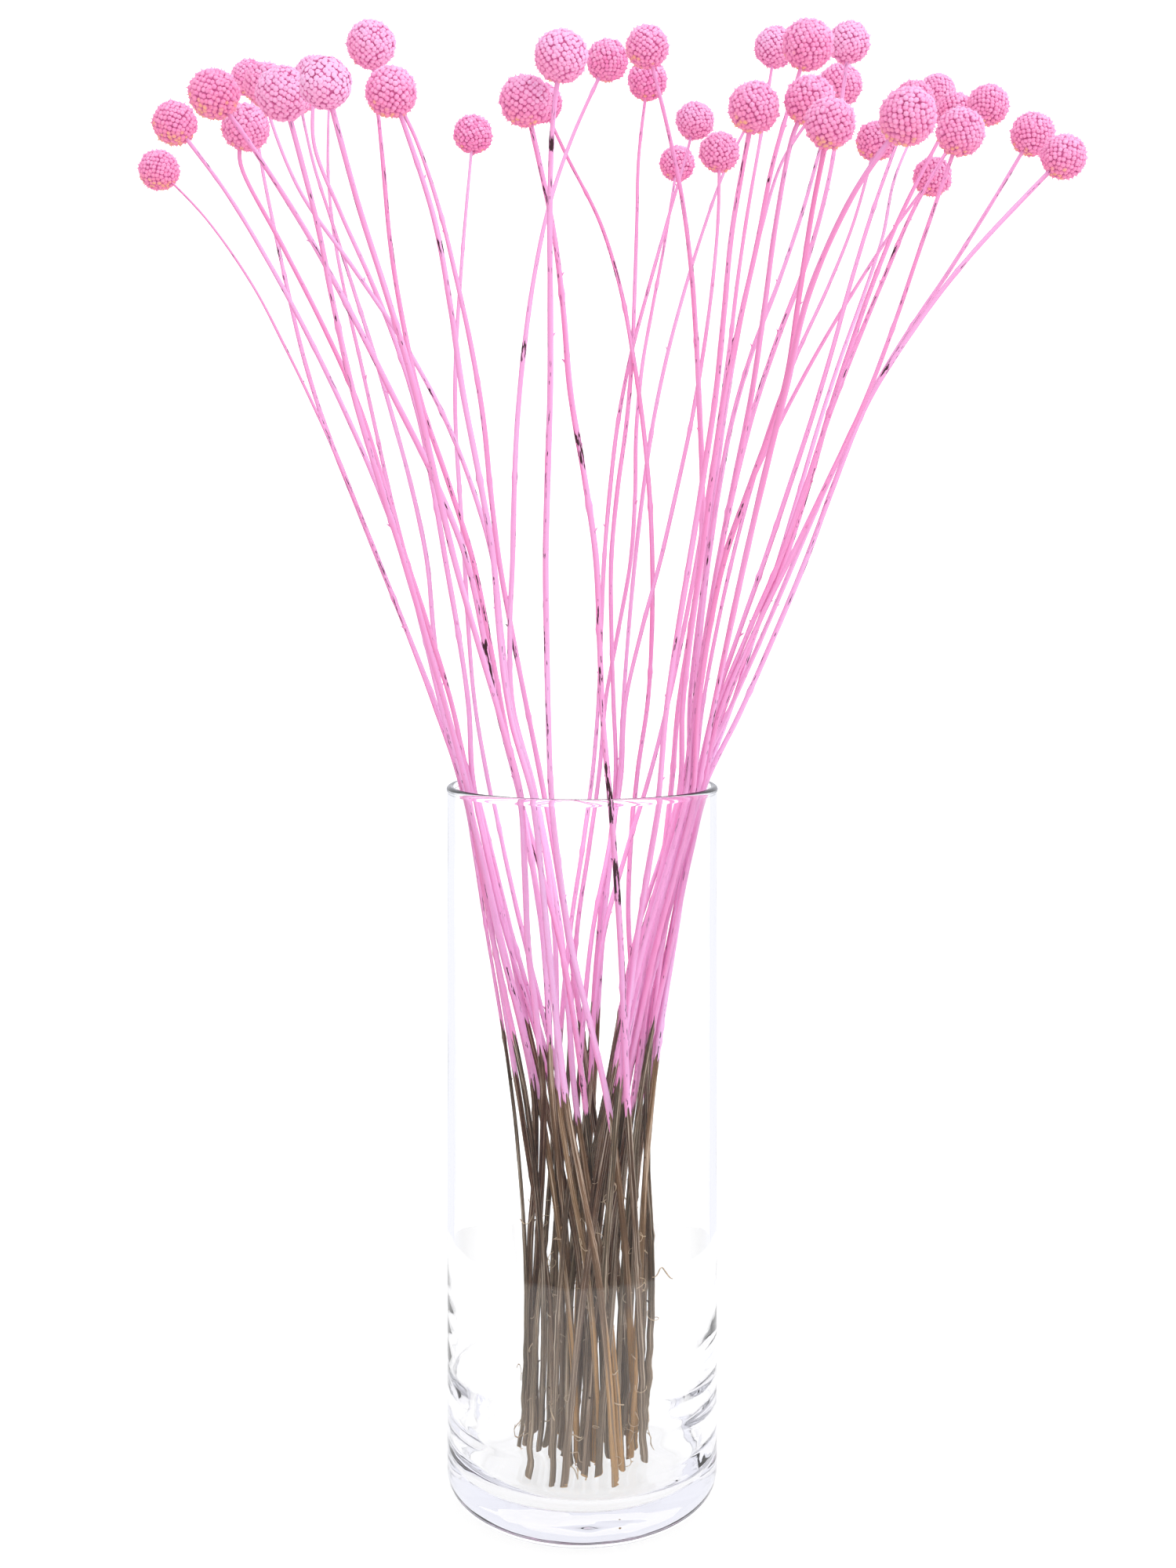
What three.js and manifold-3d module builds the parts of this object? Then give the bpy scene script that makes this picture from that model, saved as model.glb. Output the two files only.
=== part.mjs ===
// A bunch of dried billy buttons (craspedia) standing loose in a clear glass cylinder vase.
//
// Millimetres, +Z up. The origin is the middle of the vase's foot, on the table. Every flower is one
// solid, its round head grown on its stem, and nothing holds the stems but the vase and each other.
//
// A florist arranges such a bunch from one spot in front of it, so each flower is laid out as it is
// sighted from there: its x and height are those of the point where the line of sight meets the upright
// plane through the vase's axis, and its depth says how far behind that plane the head stands. The stems
// are then settled against each other and the glass, because dried stems push one another aside.

import * as THREE from 'three';
import { mergeVertices } from 'three/addons/utils/BufferGeometryUtils.js';
import Module from 'manifold-3d';

// ---- Driving dimensions ----

const VASE = { height: 315, outerRadius: 60, wall: 3, floor: 13.5, heelRadius: 13, innerHeelRadius: 5 };
const VASE_FACETS = 48;
const CORNER_FACETS = 4;

const ARRANGER = { distance: 824, eyeHeight: 403 };

// Nothing grows onto anything else: this much air is left between any two pieces that lean together.
const CLEARANCE = 0.3;
const WELD_DISTANCE = 1e-4;

// A stem thins from its foot to this share of its thickness at the head. Its levels are spaced so that
// one lies on the rim, and the last is at least this many head radii below the head's centre.
const STEM_TAPER = 0.5;
const STEM_SIDES = 5;
const RIM_LEVEL = 9;
const LAST_LEVEL_BELOW_HEAD = 1.25;
const HEAD_DETAIL = 1;

// The heights, on the sighting plane, at which each row below gives its stem's sighted x.
const SIGHT_HEIGHTS = [595, 560, 490, 420, 350, 315, 245, 175, 90, 5];

// Each row: head [x, height, depth, diameter], stem thickness at its foot, depth of its foot, and the
// stem's sighted x at each of the heights above. A low head has no stem to sight at the top heights.
const FLOWERS = [
  [[-189, 589, 85, 20.8], 1.9, 6, [null, -162, -123, -93, -67, -56, -42, -31, -25, -29]],
  [[-182, 610, 20, 21.1], 3.1, -12, [-170, -147, -110, -81, -63, -53, -36, -19, -6, -2]],
  [[-164, 623, -75, 21.6], 3.4, 18, [-144, -122, -85, -53, -38, -29, -17, -13, -5, -8]],
  [[-150, 608, -35, 21.4], 3.1, 2, [-153, -136, -102, -80, -58, -51, -39, -25, -17, -20]],
  [[-149, 630, 130, 20.3], 2.9, -8, [-144, -137, -120, -93, -66, -55, -40, -28, -16, -13]],
  [[-141, 627, 20, 21.5], 2.9, -20, [-135, -112, -67, -41, -32, -22, -12, -11, 3, 8]],
  [[-133, 623, -105, 22.6], 3.4, 12, [-124, -117, -102, -81, -61, -52, -37, -21, -23, -26]],
  [[-127, 623, 110, 21.0], 2.9, 4, [-121, -110, -88, -70, -61, -50, -31, -12, -9, -10]],
  [[-114, 628, -140, 21.5], 3.4, 22, [-106, -95, -74, -58, -38, -28, -24, -17, -21, -22]],
  [[-119, 631, 65, 21.2], 3.2, -15, [-119, -103, -76, -62, -51, -49, -32, -16, -2, 2]],
  [[-113, 626, 145, 20.6], 2.6, -3, [-114, -111, -96, -80, -60, -51, -34, -15, -12, -14]],
  [[-94, 645, -45, 21.8], 3.1, 8, [-89, -86, -73, -50, -36, -29, -10, 1, 8, 10]],
  [[-85, 624, -100, 21.2], 3.3, -27, [-74, -64, -53, -40, -33, -23, -15, -7, 8, 15]],
  [[-84, 622, 60, 21.0], 3.3, 12, [-71, -61, -46, -38, -25, -18, -6, 4, 17, 21]],
  [[-49, 605, 105, 20.9], 2.7, -11, [null, -53, -57, -53, -48, -42, -26, -9, 3, 5]],
  [[-25, 620, -90, 21.8], 3.4, -9, [-21, -12, -5, 6, 9, 12, 17, 20, 25, 28]],
  [[-9, 640, -108, 22.0], 3.4, 8, [-14, -14, -14, -16, -15, -14, -5, 11, 20, 25]],
  [[-18, 619, 90, 21.0], 3.1, 14, [-7, 10, 25, 31, 29, 24, 21, 29, 28, 24]],
  [[11, 638, 50, 21.2], 3.2, -17, [-8, -18, -28, -31, -31, -22, -9, -3, 10, 18]],
  [[29, 644, 20, 20.8], 3.2, -21, [41, 47, 52, 53, 43, 40, 32, 23, 12, 7]],
  [[29, 629, 90, 21.0], 2.8, 26, [25, 24, 21, 13, 14, 15, 7, 2, -6, -6]],
  [[50, 611, 105, 20.5], 2.7, -19, [46, 36, 18, 10, 7, 4, -6, -12, -19, -24]],
  [[42, 592, 175, 20.4], 2.7, 20, [null, 37, 25, 22, 10, 7, -3, -7, -14, -16]],
  [[61, 597, 85, 20.8], 2.7, -26, [null, 60, 51, 36, 19, 17, 4, -2, -10, -13]],
  [[77, 616, 125, 20.4], 2.6, 17, [66, 53, 34, 24, 18, 16, 9, 5, -2, -3]],
  [[77, 617, -85, 21.7], 3.3, -3, [72, 67, 60, 49, 38, 35, 24, 16, 12, 12]],
  [[86, 644, 65, 21.1], 2.9, -14, [78, 72, 63, 52, 38, 29, 9, 3, -4, -5]],
  [[101, 645, -45, 22.8], 3.3, 25, [86, 79, 64, 54, 45, 44, 27, 13, 5, 2]],
  [[119, 646, 15, 20.4], 3.2, -28, [112, 104, 79, 62, 52, 49, 31, 15, 1, -8]],
  [[115, 627, 70, 22.0], 3.1, 21, [105, 95, 70, 57, 50, 48, 29, 14, 2, -5]],
  [[102, 620, -85, 21.3], 3.2, -6, [91, 86, 76, 62, 51, 48, 28, 12, 0, -9]],
  [[104, 616, 110, 20.6], 2.9, 16, [90, 79, 65, 56, 48, 47, 26, 11, -5, -13]],
  [[111, 610, -120, 20.6], 3.3, 9, [108, 101, 90, 65, 52, 50, 33, 19, 7, 1]],
  [[131, 602, 90, 21.0], 2.6, -15, [null, 119, 89, 68, 54, 50, 32, 17, 5, -1]],
  [[146, 613, -150, 22.4], 3.4, 14, [133, 111, 91, 74, 59, 52, 35, 20, 12, 8]],
  [[148, 620, 70, 20.8], 3.2, -22, [138, 126, 106, 83, 60, 53, 36, 22, 9, 1]],
  [[158, 624, 165, 20.3], 2.7, 27, [142, 134, 110, 89, 66, 54, 38, 24, 14, 8]],
  [[166, 615, 95, 21.0], 3.4, 3, [155, 138, 113, 92, 64, 54, 38, 29, 31, 27]],
  [[169, 606, -45, 21.5], 2.9, -13, [null, 153, 128, 95, 63, 55, 40, 25, 18, 14]],
  [[181, 618, 60, 21.0], 3.1, 3, [160, 143, 114, 90, 62, 54, 39, 26, 22, 17]],
  [[156, 586, 120, 20.9], 2.8, 10, [null, 137, 95, 64, 50, 46, 24, 10, -8, -18]],
  [[201, 605, 30, 21.3], 3.1, 17, [null, 174, 129, 97, 69, 55, 40, 28, 20, 16]],
  [[215, 595, -20, 20.6], 3.2, -5, [null, 181, 130, 102, 72, 55, 41, 31, 25, 21]],
];

// How the bunch is settled: in each round every stem eases a little towards its course, and whatever
// touches is pushed apart. The easing fades out, so that the last rounds only part what still touches.
const SETTLING_ROUNDS = 700;
const EASING_SHARE = 0.8;
const SETTLING_CLEARANCE = 0.4;
const EASE_TO_SIGHTED = 0.12;
const EASE_FOOT = 0.05;
const EASE_BEND = 0.35;
const EASE_END = 0.3;
const STEM_YIELDS = 0.6;
const HEAD_YIELDS = 0.3;
const NUDGE = 0.01;

// ---- Colours ----

const PAINTED_PINK = new THREE.Color('#e85fa9');
const CLEAR_GLASS = new THREE.Color('#e9f1f2');

// ---- Sighting ----

/** How much larger than sighted a thing is that stands this far behind the plane through the axis. */
function sightScale(depth) {
  return 1 + depth / ARRANGER.distance;
}

/** A smooth curve of a flower's sighted x over its sighted height, from its foot up into its head. */
function sightedCurve(headX, headHeight, xs) {
  const points = SIGHT_HEIGHTS.map((height, i) => ({ height, x: xs[i] }));
  const sighted = points.filter(({ x }) => x !== null).reverse();
  sighted.push({ height: headHeight, x: headX });
  return new THREE.CubicInterpolant(sighted.map((p) => p.height), sighted.map((p) => p.x), 1);
}

/** The true x, at this true height and depth, that lies on a flower's line of sight. */
function xOnSight(flower, height, depth) {
  const scale = sightScale(depth);
  const sightedHeight = ARRANGER.eyeHeight + (height - ARRANGER.eyeHeight) / scale;
  return flower.curve.evaluate(sightedHeight)[0] * scale;
}

/** Moves a head along its line of sight to this depth. */
function setHeadDepth(flower, depth) {
  const scale = sightScale(depth);
  flower.head.x = flower.sightedHead.x * scale;
  flower.head.y = depth;
  flower.head.z = ARRANGER.eyeHeight + (flower.sightedHead.z - ARRANGER.eyeHeight) * scale;
}

// ---- The flowers as laid out ----

// A stem is a list of points at level heights that all stems share, and ends in its head's centre.
const INNER_RADIUS = (VASE.outerRadius - VASE.wall) * Math.cos(Math.PI / VASE_FACETS);
const FOOT_HEIGHT = VASE.floor + CLEARANCE;
const LEVEL_STEP = (VASE.height - FOOT_HEIGHT) / RIM_LEVEL;

function layOutFlower([[headX, headHeight, headDepth, headDiameter], thickness, footDepth, xs]) {
  const flower = {
    curve: sightedCurve(headX, headHeight, xs),
    sightedHead: { x: headX, z: headHeight },
    headRadius: headDiameter / 2,
    footDepth,
    head: { x: 0, y: 0, z: 0 },
    stem: [],
  };
  setHeadDepth(flower, headDepth);

  const straightRimDepth = THREE.MathUtils.lerp(footDepth, headDepth, VASE.height / flower.head.z);
  const rimX = Math.min(Math.abs(xOnSight(flower, VASE.height, 0)), INNER_RADIUS);
  const rimReach = Math.sqrt(INNER_RADIUS ** 2 - rimX ** 2);
  const rimDepth = THREE.MathUtils.clamp(straightRimDepth, -rimReach, rimReach);
  const depths = new THREE.CubicInterpolant(
    [FOOT_HEIGHT, VASE.height, flower.head.z],
    [footDepth, rimDepth, headDepth],
    1,
  );

  const lastLevel = flower.head.z - LAST_LEVEL_BELOW_HEAD * flower.headRadius;
  for (let z = FOOT_HEIGHT; z < lastLevel; z += LEVEL_STEP) {
    const y = depths.evaluate(z)[0];
    flower.stem.push({ x: xOnSight(flower, z, y), y, z });
  }
  flower.stem.push(flower.head);
  flower.stem.forEach((point) => {
    point.radius = (thickness / 2) * (1 - ((1 - STEM_TAPER) * point.z) / flower.head.z);
  });
  return flower;
}

/** The slope of a stem at a point, as x and y moved for each millimetre of height. */
function slopeAt(stem, k) {
  const below = stem[Math.max(k - 1, 0)];
  const above = stem[Math.min(k + 1, stem.length - 1)];
  const rise = above.z - below.z;
  return { x: (above.x - below.x) / rise, y: (above.y - below.y) / rise };
}

/** How far a leaning stem reaches at a level: its round section, cut level, is an ellipse. */
function measureReach({ stem }) {
  stem.forEach((point, k) => {
    const slope = slopeAt(stem, k);
    point.reach = point.radius * Math.hypot(1, slope.x, slope.y);
  });
}

// ---- Settling the bunch ----

/** Whether a level has fewer than two others on one side of it. */
function isNearEnd(stem, k) {
  return k === 1 || k >= stem.length - 3;
}

/**
 * The value a level would have if the stem bent evenly there: that of the cubic through the two levels
 * on each side of it, or of the straight line between its neighbours near an end.
 */
function evenValue(stem, values, k) {
  if (isNearEnd(stem, k)) {
    const share = (stem[k + 1].z - stem[k].z) / (stem[k + 1].z - stem[k - 1].z);
    return THREE.MathUtils.lerp(values[k + 1], values[k - 1], share);
  }
  return (4 * (values[k - 1] + values[k + 1]) - (values[k - 2] + values[k + 2])) / 6;
}

/** Eases a stem towards its sighted course, and evens out its bend in depth and wherever it strays. */
function easeStem(flower, ease) {
  const { stem, footDepth } = flower;
  const depths = stem.map((point) => point.y);
  const strays = stem.map((point) => point.x - xOnSight(flower, point.z, point.y));
  for (let k = 0; k < stem.length - 1; k += 1) {
    const point = stem[k];
    point.x -= ease * EASE_TO_SIGHTED * strays[k];
    if (k === 0) {
      point.y += ease * EASE_FOOT * (footDepth - point.y);
    } else {
      const share = ease * EASE_BEND * (isNearEnd(stem, k) ? EASE_END : 1);
      point.x += share * (evenValue(stem, strays, k) - strays[k]);
      point.y += share * (evenValue(stem, depths, k) - depths[k]);
    }
  }
}

/** Moves the stretch of stem above level k sideways at the fraction t of its length. */
function pushStretch(flower, k, t, moveX, moveY) {
  const share = 1 / ((1 - t) ** 2 + t ** 2);
  const lower = flower.stem[k];
  lower.x += (1 - t) * share * moveX;
  lower.y += (1 - t) * share * moveY;
  const upper = flower.stem[k + 1];
  if (upper !== flower.head) {
    upper.x += t * share * moveX;
    upper.y += t * share * moveY;
  }
}

/** Pushes two stems apart wherever they come closer than their thickness and the clearance. */
function partStems(a, b) {
  const stretches = Math.min(a.stem.length, b.stem.length) - 1;
  for (let k = 0; k < stretches; k += 1) {
    const [a0, a1, b0, b1] = [a.stem[k], a.stem[k + 1], b.stem[k], b.stem[k + 1]];
    const top = Math.min(a1.z, b1.z);
    const endA = (top - a0.z) / (a1.z - a0.z);
    const endB = (top - b0.z) / (b1.z - b0.z);
    const startX = a0.x - b0.x;
    const startY = a0.y - b0.y;
    const changeX = (a1.x - a0.x) * endA - (b1.x - b0.x) * endB;
    const changeY = (a1.y - a0.y) * endA - (b1.y - b0.y) * endB;
    const change = changeX ** 2 + changeY ** 2 || 1;
    const t = THREE.MathUtils.clamp(-(startX * changeX + startY * changeY) / change, 0, 1);
    const gapX = startX + t * changeX;
    const gapY = startY + t * changeY;
    const gap = Math.hypot(gapX, gapY) || NUDGE;
    const short = a0.reach + b0.reach + SETTLING_CLEARANCE - gap;
    if (short > 0) {
      const moveX = (0.5 * short * gapX) / gap;
      const moveY = (0.5 * short * (gapY || NUDGE)) / gap;
      pushStretch(a, k, t * endA, moveX, moveY);
      pushStretch(b, k, t * endB, -moveX, -moveY);
    }
  }
}

/** Slides two touching heads apart along their lines of sight. */
function partHeads(a, b) {
  const apart = Math.hypot(a.head.x - b.head.x, a.head.y - b.head.y, a.head.z - b.head.z);
  const short = a.headRadius + b.headRadius + SETTLING_CLEARANCE - apart;
  if (short > 0) {
    const side = a.head.y >= b.head.y ? 0.5 : -0.5;
    setHeadDepth(a, a.head.y + side * short);
    setHeadDepth(b, b.head.y - side * short);
  }
}

/** Pushes a stem round another flower's head, and slides that head a little the other way. */
function partHeadFromStem(flower, other) {
  const { head, headRadius } = flower;
  for (let k = 0; k < other.stem.length - 1; k += 1) {
    const lower = other.stem[k];
    const upper = other.stem[k + 1];
    if (upper.z > head.z - 2 * headRadius && lower.z < head.z + 2 * headRadius) {
      const along = new THREE.Vector3().subVectors(upper, lower);
      const toHead = new THREE.Vector3().subVectors(head, lower);
      const t = THREE.MathUtils.clamp(toHead.dot(along) / along.lengthSq(), 0, 1);
      const gap = along.multiplyScalar(t).sub(toHead);
      const short = headRadius + lower.reach + SETTLING_CLEARANCE - gap.length();
      if (short > 0) {
        const push = short / (Math.hypot(gap.x, gap.y) || 1);
        pushStretch(other, k, t, STEM_YIELDS * push * gap.x, STEM_YIELDS * push * gap.y);
        setHeadDepth(flower, head.y - HEAD_YIELDS * push * gap.y);
      }
    }
  }
}

/** Keeps a stem inside the glass, up to the rim that it leans on. */
function keepInVase({ stem }) {
  for (let k = 0; k <= RIM_LEVEL; k += 1) {
    const point = stem[k];
    const limit = INNER_RADIUS - point.reach - CLEARANCE;
    const radius = Math.hypot(point.x, point.y);
    if (radius > limit) {
      point.x *= limit / radius;
      point.y *= limit / radius;
    }
  }
}

function settleBunch(flowers) {
  for (let round = 0; round < SETTLING_ROUNDS; round += 1) {
    const ease = Math.max(0, 1 - round / (EASING_SHARE * SETTLING_ROUNDS));
    flowers.forEach((flower) => easeStem(flower, ease));
    flowers.forEach(measureReach);
    flowers.forEach((a, i) => {
      for (const b of flowers.slice(i + 1)) {
        partStems(a, b);
        partHeads(a, b);
        partHeadFromStem(a, b);
        partHeadFromStem(b, a);
      }
    });
    flowers.forEach(keepInVase);
  }
}

// ---- Solids ----

const wasm = await Module();
wasm.setup();

function toManifold(geometry) {
  const bare = geometry.clone();
  bare.deleteAttribute('normal');
  bare.deleteAttribute('uv');
  const merged = mergeVertices(bare, WELD_DISTANCE);
  return new wasm.Manifold(
    new wasm.Mesh({
      numProp: 3,
      vertProperties: new Float32Array(merged.attributes.position.array),
      triVerts: new Uint32Array(merged.index.array),
    }),
  );
}

function fromManifold(solid) {
  const mesh = solid.getMesh();
  const geometry = new THREE.BufferGeometry();
  geometry.setAttribute('position', new THREE.BufferAttribute(mesh.vertProperties, 3));
  geometry.setIndex(new THREE.BufferAttribute(mesh.triVerts, 1));
  geometry.computeVertexNormals();
  return geometry;
}

/** A stem: level rings joined from its flat cut foot to the middle of its head, closed at both ends. */
function stemGeometry(stem) {
  const positions = [];
  stem.forEach((point, k) => {
    const slope = slopeAt(stem, k);
    const lean = Math.hypot(slope.x, slope.y);
    const stretch = lean > 0 ? (Math.hypot(1, lean) - 1) / lean ** 2 : 0;
    for (let i = 0; i < STEM_SIDES; i += 1) {
      const angle = (2 * Math.PI * i) / STEM_SIDES;
      const x = point.radius * Math.cos(angle);
      const y = point.radius * Math.sin(angle);
      const along = stretch * (x * slope.x + y * slope.y);
      positions.push(point.x + x + along * slope.x, point.y + y + along * slope.y, point.z);
    }
  });

  const indices = [];
  for (let k = 0; k < stem.length - 1; k += 1) {
    for (let i = 0; i < STEM_SIDES; i += 1) {
      const here = k * STEM_SIDES + i;
      const next = k * STEM_SIDES + ((i + 1) % STEM_SIDES);
      indices.push(here, next, next + STEM_SIDES);
      indices.push(here, next + STEM_SIDES, here + STEM_SIDES);
    }
  }
  const topRing = (stem.length - 1) * STEM_SIDES;
  for (let i = 1; i < STEM_SIDES - 1; i += 1) {
    indices.push(0, i + 1, i);
    indices.push(topRing, topRing + i, topRing + i + 1);
  }

  const geometry = new THREE.BufferGeometry();
  geometry.setAttribute('position', new THREE.Float32BufferAttribute(positions, 3));
  geometry.setIndex(indices);
  return geometry;
}

/** One flower: the stem and its ball of tiny florets, grown as one solid. */
function flowerMesh({ head, headRadius, stem }, name) {
  const ball = new THREE.IcosahedronGeometry(headRadius, HEAD_DETAIL);
  ball.translate(head.x, head.y, head.z);
  const solid = toManifold(stemGeometry(stem)).add(toManifold(ball));
  const material = new THREE.MeshStandardMaterial({ color: PAINTED_PINK, roughness: 0.9, metalness: 0 });
  const mesh = new THREE.Mesh(fromManifold(solid), material);
  mesh.name = name;
  return mesh;
}

/** The points of one rounded corner of the vase's profile. */
function arcPoints(centreX, centreY, radius, startAngle, endAngle) {
  return Array.from({ length: CORNER_FACETS + 1 }, (_, i) => {
    const angle = THREE.MathUtils.lerp(startAngle, endAngle, i / CORNER_FACETS);
    return new THREE.Vector2(centreX + radius * Math.cos(angle), centreY + radius * Math.sin(angle));
  });
}

/** The vase: a heavy round foot, an upright wall and a rounded, fire-polished rim. */
function vaseMesh() {
  const { height, outerRadius, wall, floor, heelRadius, innerHeelRadius } = VASE;
  const lip = wall / 2;
  const innerRadius = outerRadius - wall;
  const profile = [
    new THREE.Vector2(0, 0),
    ...arcPoints(outerRadius - heelRadius, heelRadius, heelRadius, -Math.PI / 2, 0),
    ...arcPoints(outerRadius - lip, height - lip, lip, 0, Math.PI),
    ...arcPoints(innerRadius - innerHeelRadius, floor + innerHeelRadius, innerHeelRadius, 0, -Math.PI / 2),
    new THREE.Vector2(0, floor),
  ];
  const geometry = new THREE.LatheGeometry(profile, VASE_FACETS);
  geometry.rotateX(Math.PI / 2);
  const material = new THREE.MeshStandardMaterial({
    color: CLEAR_GLASS,
    roughness: 0.02,
    metalness: 0,
    transparent: true,
    opacity: 0.3,
  });
  const mesh = new THREE.Mesh(geometry, material);
  mesh.name = 'vase';
  return mesh;
}

// ---- The whole arrangement ----

const flowers = FLOWERS.map(layOutFlower);
settleBunch(flowers);

const arrangement = new THREE.Group();
arrangement.add(vaseMesh());
flowers.forEach((flower, i) => {
  arrangement.add(flowerMesh(flower, `billy_button_${String(i + 1).padStart(2, '0')}`));
});

export default arrangement;
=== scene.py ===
# %% [markdown]
# # A bunch of dried billy buttons in a glass cylinder
# Craspedia, which florists call billy buttons, dries into a hard ball of hundreds of tiny florets on a
# bare, wiry stem. These were sprayed pink from above, down to about a hand's width over their cut feet,
# and stand dry and loose in a tall, heavy-footed glass cylinder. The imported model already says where
# every stem runs and where every head sits, so this lesson only grows the fine surface on it.

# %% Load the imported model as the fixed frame
import math
from functools import partial

import bmesh
import bpy
import numpy as np
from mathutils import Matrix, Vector, noise


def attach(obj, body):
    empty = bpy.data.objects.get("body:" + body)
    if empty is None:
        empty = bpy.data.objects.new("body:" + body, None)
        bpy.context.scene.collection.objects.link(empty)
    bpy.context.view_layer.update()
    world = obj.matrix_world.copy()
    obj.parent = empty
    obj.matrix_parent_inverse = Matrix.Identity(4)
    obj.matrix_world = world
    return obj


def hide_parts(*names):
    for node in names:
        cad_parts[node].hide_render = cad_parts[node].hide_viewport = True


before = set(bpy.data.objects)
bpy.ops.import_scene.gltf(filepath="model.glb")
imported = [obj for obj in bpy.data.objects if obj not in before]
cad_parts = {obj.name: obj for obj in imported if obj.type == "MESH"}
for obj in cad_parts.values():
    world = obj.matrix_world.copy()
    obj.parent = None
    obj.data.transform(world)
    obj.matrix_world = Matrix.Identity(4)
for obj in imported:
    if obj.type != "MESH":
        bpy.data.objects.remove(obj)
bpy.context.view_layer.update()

MM = 0.001
print("packed nodes:", len(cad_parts))

# %% [markdown]
# ## A few helpers
# Colours are written as the hex values that a paint chart or a colour picker shows, and shaders want
# linear light, so one function turns them round. Node trees are long lists of the same three steps: add
# a node, set it, feed it. One small function does all three, every new tree comes with its own copy of
# it under the name of add, and so each tree below reads as a recipe. A feed may be a whole node, and
# then the first of its outputs that is live is taken: a node that can work on numbers, vectors or
# colours only has those of the chosen kind live.

# %% Colours and nodes


def linear(hex_colour):
    """A hex colour as the linear red, green, blue and alpha that a shader socket takes."""
    channels = [int(hex_colour[i:i + 2], 16) / 255 for i in (1, 3, 5)]
    return tuple(c / 12.92 if c <= 0.04045 else ((c + 0.055) / 1.055) ** 2.4 for c in channels) + (1.0,)


def feed(node, feeds):
    """Gives a node's inputs, by name or number, a value, a hex colour, an output, a node, or some nodes."""
    for key, value in feeds.items():
        for source in value if isinstance(value, list) else [value]:
            if isinstance(source, bpy.types.Node):
                source = next(output for output in source.outputs if output.enabled)
            if isinstance(source, bpy.types.NodeSocket):
                node.id_data.links.new(source, node.inputs[key])
            else:
                is_colour = isinstance(source, str) and source.startswith("#")
                node.inputs[key].default_value = linear(source) if is_colour else source


def add_node(tree, kind, feeds=None, **settings):
    """Adds a node of this kind with its settings, and feeds it."""
    node = tree.nodes.new(kind)
    for name, value in settings.items():
        setattr(node, name, value)
    feed(node, feeds or {})
    return node


def add_object(name, data):
    """Puts a mesh, a camera or a lamp into the scene, as an object of this name."""
    made = bpy.data.objects.new(name, data)
    bpy.context.scene.collection.objects.link(made)
    return made


def new_material(name):
    """A material, what adds nodes to it, and its Principled shader, already joined to the output."""
    material = bpy.data.materials.new(name)
    material.use_nodes = True
    material.node_tree.nodes.clear()
    add = partial(add_node, material.node_tree)
    shader = add("ShaderNodeBsdfPrincipled")
    add("ShaderNodeOutputMaterial", {"Surface": shader})
    return material, add, shader


def set_stops(ramp, stops):
    """Sets a colour ramp to these positions and hex colours, and hands it back."""
    for position, _ in stops[2:]:
        ramp.color_ramp.elements.new(position)
    for stop, (position, hex_colour) in zip(ramp.color_ramp.elements, stops):
        stop.position = position
        stop.color = linear(hex_colour)
    return ramp


def lay_over(add, under, coats):
    """Lays colours over each other like coats of paint, each as thick as its own factor says."""
    for factor, colour in coats:
        under = add("ShaderNodeMix", {0: factor, 6: under, 7: colour}, data_type="RGBA")
    return under


# %% [markdown]
# ## Camera
# The arrangement is seen from a little over arm's length, with the eye just above the vase's rim and
# looking level, so upright things stay upright. A level camera at that height would show mostly what is
# above the rim, so the lens is shifted down, as a view camera's is, instead of being tilted.

# %% Camera
EYE_DISTANCE = 0.824
EYE_HEIGHT = 0.403
EYE_ASIDE = 0.0026
FOCAL_LENGTH = 42.39
SENSOR_LONG_SIDE = 36.0
LENS_SHIFT_DOWN = 0.1257

camera_data = bpy.data.cameras.new("studio_camera")
camera_data.sensor_width = SENSOR_LONG_SIDE
camera_data.lens = FOCAL_LENGTH
camera_data.shift_y = -LENS_SHIFT_DOWN
camera = add_object("studio_camera", camera_data)
camera.location = (EYE_ASIDE, -EYE_DISTANCE, EYE_HEIGHT)
camera.rotation_euler = (math.radians(90), 0, 0)
bpy.context.scene.camera = camera
print("camera at:", tuple(camera.location), "lens shifted down by:", LENS_SHIFT_DOWN)

# %% [markdown]
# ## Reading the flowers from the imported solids
# Each packed flower is a thin tube with a faceted ball on it. The tube's corners lie on level rings, so
# the middle of each ring is a point of the stem's course, and the ring's size is the stem's thickness.
# The ball reaches furthest sideways at its own height, which gives its centre and its radius.

# %% Stem courses and heads
BALL_TOP_SLICE = 16 * MM
RINGS_END_BELOW = 1.2
SAME_LEVEL = 0.1 * MM


def read_flower(name):
    """The points and radii of a flower's stem, and the centre and radius of its head."""
    corners = np.array([vertex.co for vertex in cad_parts[name].data.vertices])
    corners = np.unique(corners.round(6), axis=0)
    top = corners[:, 2].max()
    ball = corners[corners[:, 2] > top - BALL_TOP_SLICE]
    low, high = ball.min(0), ball.max(0)
    radius = (high[0] - low[0]) / 2
    centre = np.array([(low[0] + high[0]) / 2, (low[1] + high[1]) / 2, top - radius])

    rings = corners[corners[:, 2] < centre[2] - RINGS_END_BELOW * radius]
    points, radii = [], []
    for level in np.unique(rings[:, 2].round(4)):
        ring = rings[abs(rings[:, 2] - level) < SAME_LEVEL]
        middle = ring.mean(0)
        points.append(middle)
        radii.append(np.linalg.norm(ring - middle, axis=1).min())
    return {"name": name, "points": points, "radii": radii, "centre": centre, "radius": radius}


flowers = [read_flower(name) for name in sorted(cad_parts) if name != "vase"]
print("flowers read:", len(flowers), "rings on the first stem:", len(flowers[0]["points"]))

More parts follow.
